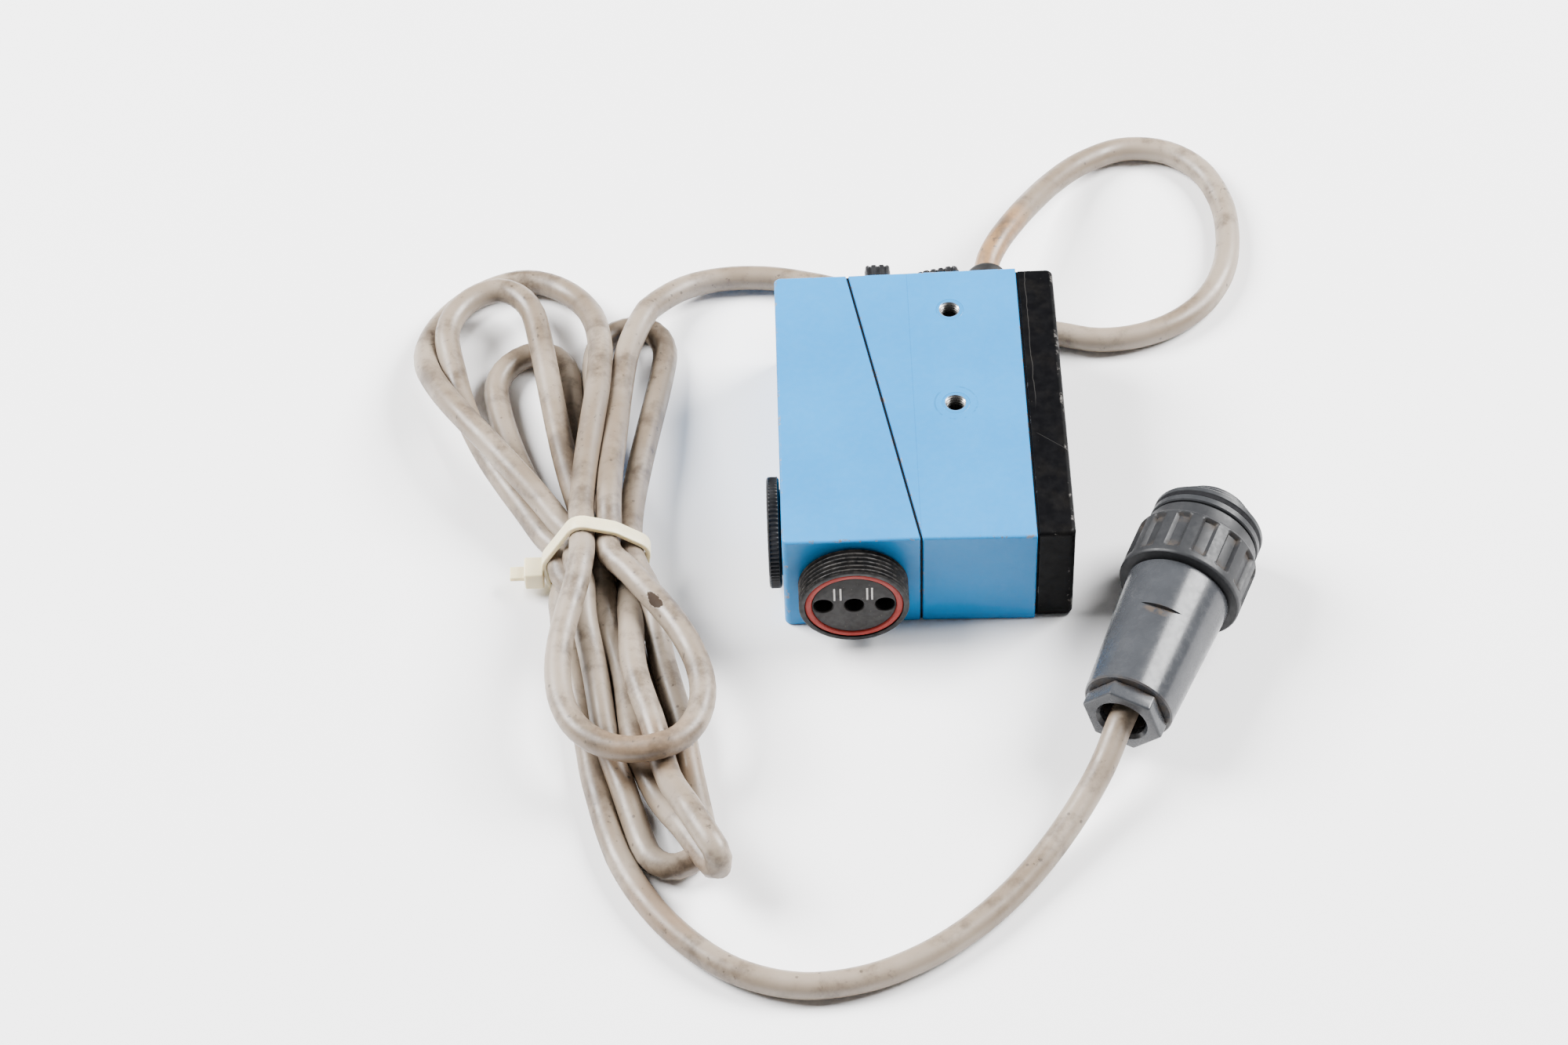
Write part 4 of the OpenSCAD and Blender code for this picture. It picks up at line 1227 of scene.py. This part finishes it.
def make_plug_front():
    """Flange with its groove, a smaller tip and the contact holes."""
    past = [(8.3, -14), (8.3, 0.35), (12.7, 0.35), (13.0, 0.6), (13.0, 1.9), (12.85, 2.0), (12.3, 2.0),
            (12.3, 3.2), (12.85, 3.2), (13.0, 3.35), (13.0, 4.3), (12.7, 4.6), (10.7, 4.62),
            (10.6, 4.7), (10.6, 6.8), (10.3, 7.1), (8.3, 7.12), (8.3, 9.2), (8.0, 9.5)]
    profile = [(radius, RING_END + height) for radius, height in past]
    front = piece("plug_front", lathe(profile, 96), "insert_grey", PLUG, "plug_insert")
    contacts, circle_r = 5, 4.4 * MM
    holes = []
    for k in range(contacts):
        a = TAU / 2 - TAU * k / contacts
        axis = PLUG @ Matrix.Translation((circle_r * math.cos(a), circle_r * math.sin(a), 0))
        holes.append(drum(axis, 1.2, RING_END - 20, RING_END + 20, 24))
    cut(front, *holes)


# ---------------------------------------------------------------- cable tie

TIE_W = 3.5
TIE_THICK = 1.15
# Boxes as x from the loop's left side, y from the tie's middle, z, corner radius and edge radius
TIE_HEAD = ((-4.2, 0.3), (-3.5, 2.2), (2.6, 7.6), 0.5, 0.4)
TIE_TAIL = ((-7.6, -4), (-2.3, 1.1), (4.3, 5.5), 0.15, 0.15)


def hull(points):
    """Convex outline round points, anticlockwise."""
    points = sorted(set(points))

    def turns_left(a, b, c):
        return (b[0] - a[0]) * (c[1] - a[1]) > (b[1] - a[1]) * (c[0] - a[0])

    def half(run):
        out = []
        for p in run:
            while len(out) > 1 and not turns_left(out[-2], out[-1], p):
                out.pop()
            out.append(p)
        return out[:-1]

    return half(points) + half(points[::-1])


def tie_path():
    """Outline drawn round the strands inside the tie and its outward directions, in (x, z)."""
    strands = [p for p in CABLE_LINE / MM if abs(p[1] - TIE[1]) < 3 and abs(p[0] - TIE[0]) < 16]
    rings = []
    for x, _, z in strands:
        for k in range(32):
            a = TAU * k / 32
            rings.append((x + 3.08 * math.cos(a), z + 3.08 * math.sin(a)))
    loop = hull(rings)
    path = evened(np.array([(x, z, 0) for x, z in loop + loop[:1]]), 0.8)[:-1, :2]
    back = np.roll(path, 1, 0) - np.roll(path, -1, 0)
    out = np.stack([-back[:, 1], back[:, 0]], 1)
    out /= np.linalg.norm(out, axis=1)[:, None]
    if out[0] @ (path[0] - path.mean(0)) < 0:
        out = -out
    return path, out


def make_tie():
    """Nylon tie drawn round the strands, with its head and cut tail at the lower left."""
    path, out = tie_path()
    half_w = TIE_W / 2
    section = rounded([(0, -half_w), (TIE_THICK, -half_w), (TIE_THICK, half_w), (0, half_w)], 0.25, 3)
    n = len(section)
    verts, faces = [], []
    for k, place in enumerate(path):
        a, b = k * n, (k + 1) % len(path) * n
        faces += [(a + i, a + (i + 1) % n, b + (i + 1) % n, b + i) for i in range(n)]
        for d, y in section:
            x, z = place + out[k] * d
            verts.append((x, TIE[1] + y + (z - 10) * 0.10, max(z, 0.02)))
    left = path[:, 0].min() - 1.1
    parts = [(verts, faces)]
    for (x0, x1), (y0, y1), (z0, z1), radius, edge in (TIE_HEAD, TIE_TAIL):
        corners = [(left + x, TIE[1] + y) for x, y in ((x0, y0), (x1, y0), (x1, y1), (x0, y1))]
        parts.append(prism(corners, [radius] * 4, z0, z1, edge)[:2])
    piece("tie_loop", joined(*parts), "tie_nylon", Matrix(), "cable_tie", smooth=50)


make_optics_housing()
make_electronics_housing()
make_side_cover()
make_thread_inserts()
make_head()
make_cap()
make_knob("sensitivity_knob", "sensitivity_dial", 0)
make_knob("mode_knob", "mode_dial", 78)
make_boot()
make_plug_nut()
make_plug_shell()
make_ring()
make_plug_front()
make_tie()


# ---------------------------------------------------------------- stage and light

FLOOR_REACH = 4.0
SOFTBOX_SIZE = 0.9
# Each softbox's place and its power in watts
SOFTBOXES = {"left softbox": ((-1.2, 0.35, 1.15), 122), "right softbox": ((1.2, 0.4, 1.15), 127)}
WORLD_STRENGTH = 0.13


def stage_object(name, data, place):
    """Adds a thing that belongs to the stage and not to the sensor."""
    thing = bpy.data.objects.new(name, data)
    bpy.context.scene.collection.objects.link(thing)
    thing.location = place
    return thing


def make_floor():
    """Plain pale floor, just below the sensor."""
    r = FLOOR_REACH
    mesh = bpy.data.meshes.new("floor")
    mesh.from_pydata([(-r, -r, 0), (r, -r, 0), (r, r, 0), (-r, r, 0)], [], [(0, 1, 2, 3)])
    mesh.materials.append(Paint("floor", (0.88, 0.875, 0.88), 0.75, specular=0.2).material)
    stage_object("floor", mesh, (0, 0, -0.03 * MM))


def make_lights():
    """Two big softboxes that look at the origin, and a dim white surround."""
    for name, (place, power) in SOFTBOXES.items():
        light = bpy.data.lights.new(name, "AREA")
        light.size = SOFTBOX_SIZE
        light.energy = power
        lamp = stage_object(name, light, place)
        lamp.rotation_euler = (-Vector(place)).to_track_quat("-Z", "Y").to_euler()
    world = bpy.data.worlds.new("world")
    world.use_nodes = True
    background = world.node_tree.nodes["Background"]
    background.inputs["Color"].default_value = (1, 1, 1, 1)
    background.inputs["Strength"].default_value = WORLD_STRENGTH
    bpy.context.scene.world = world


make_floor()
make_lights()
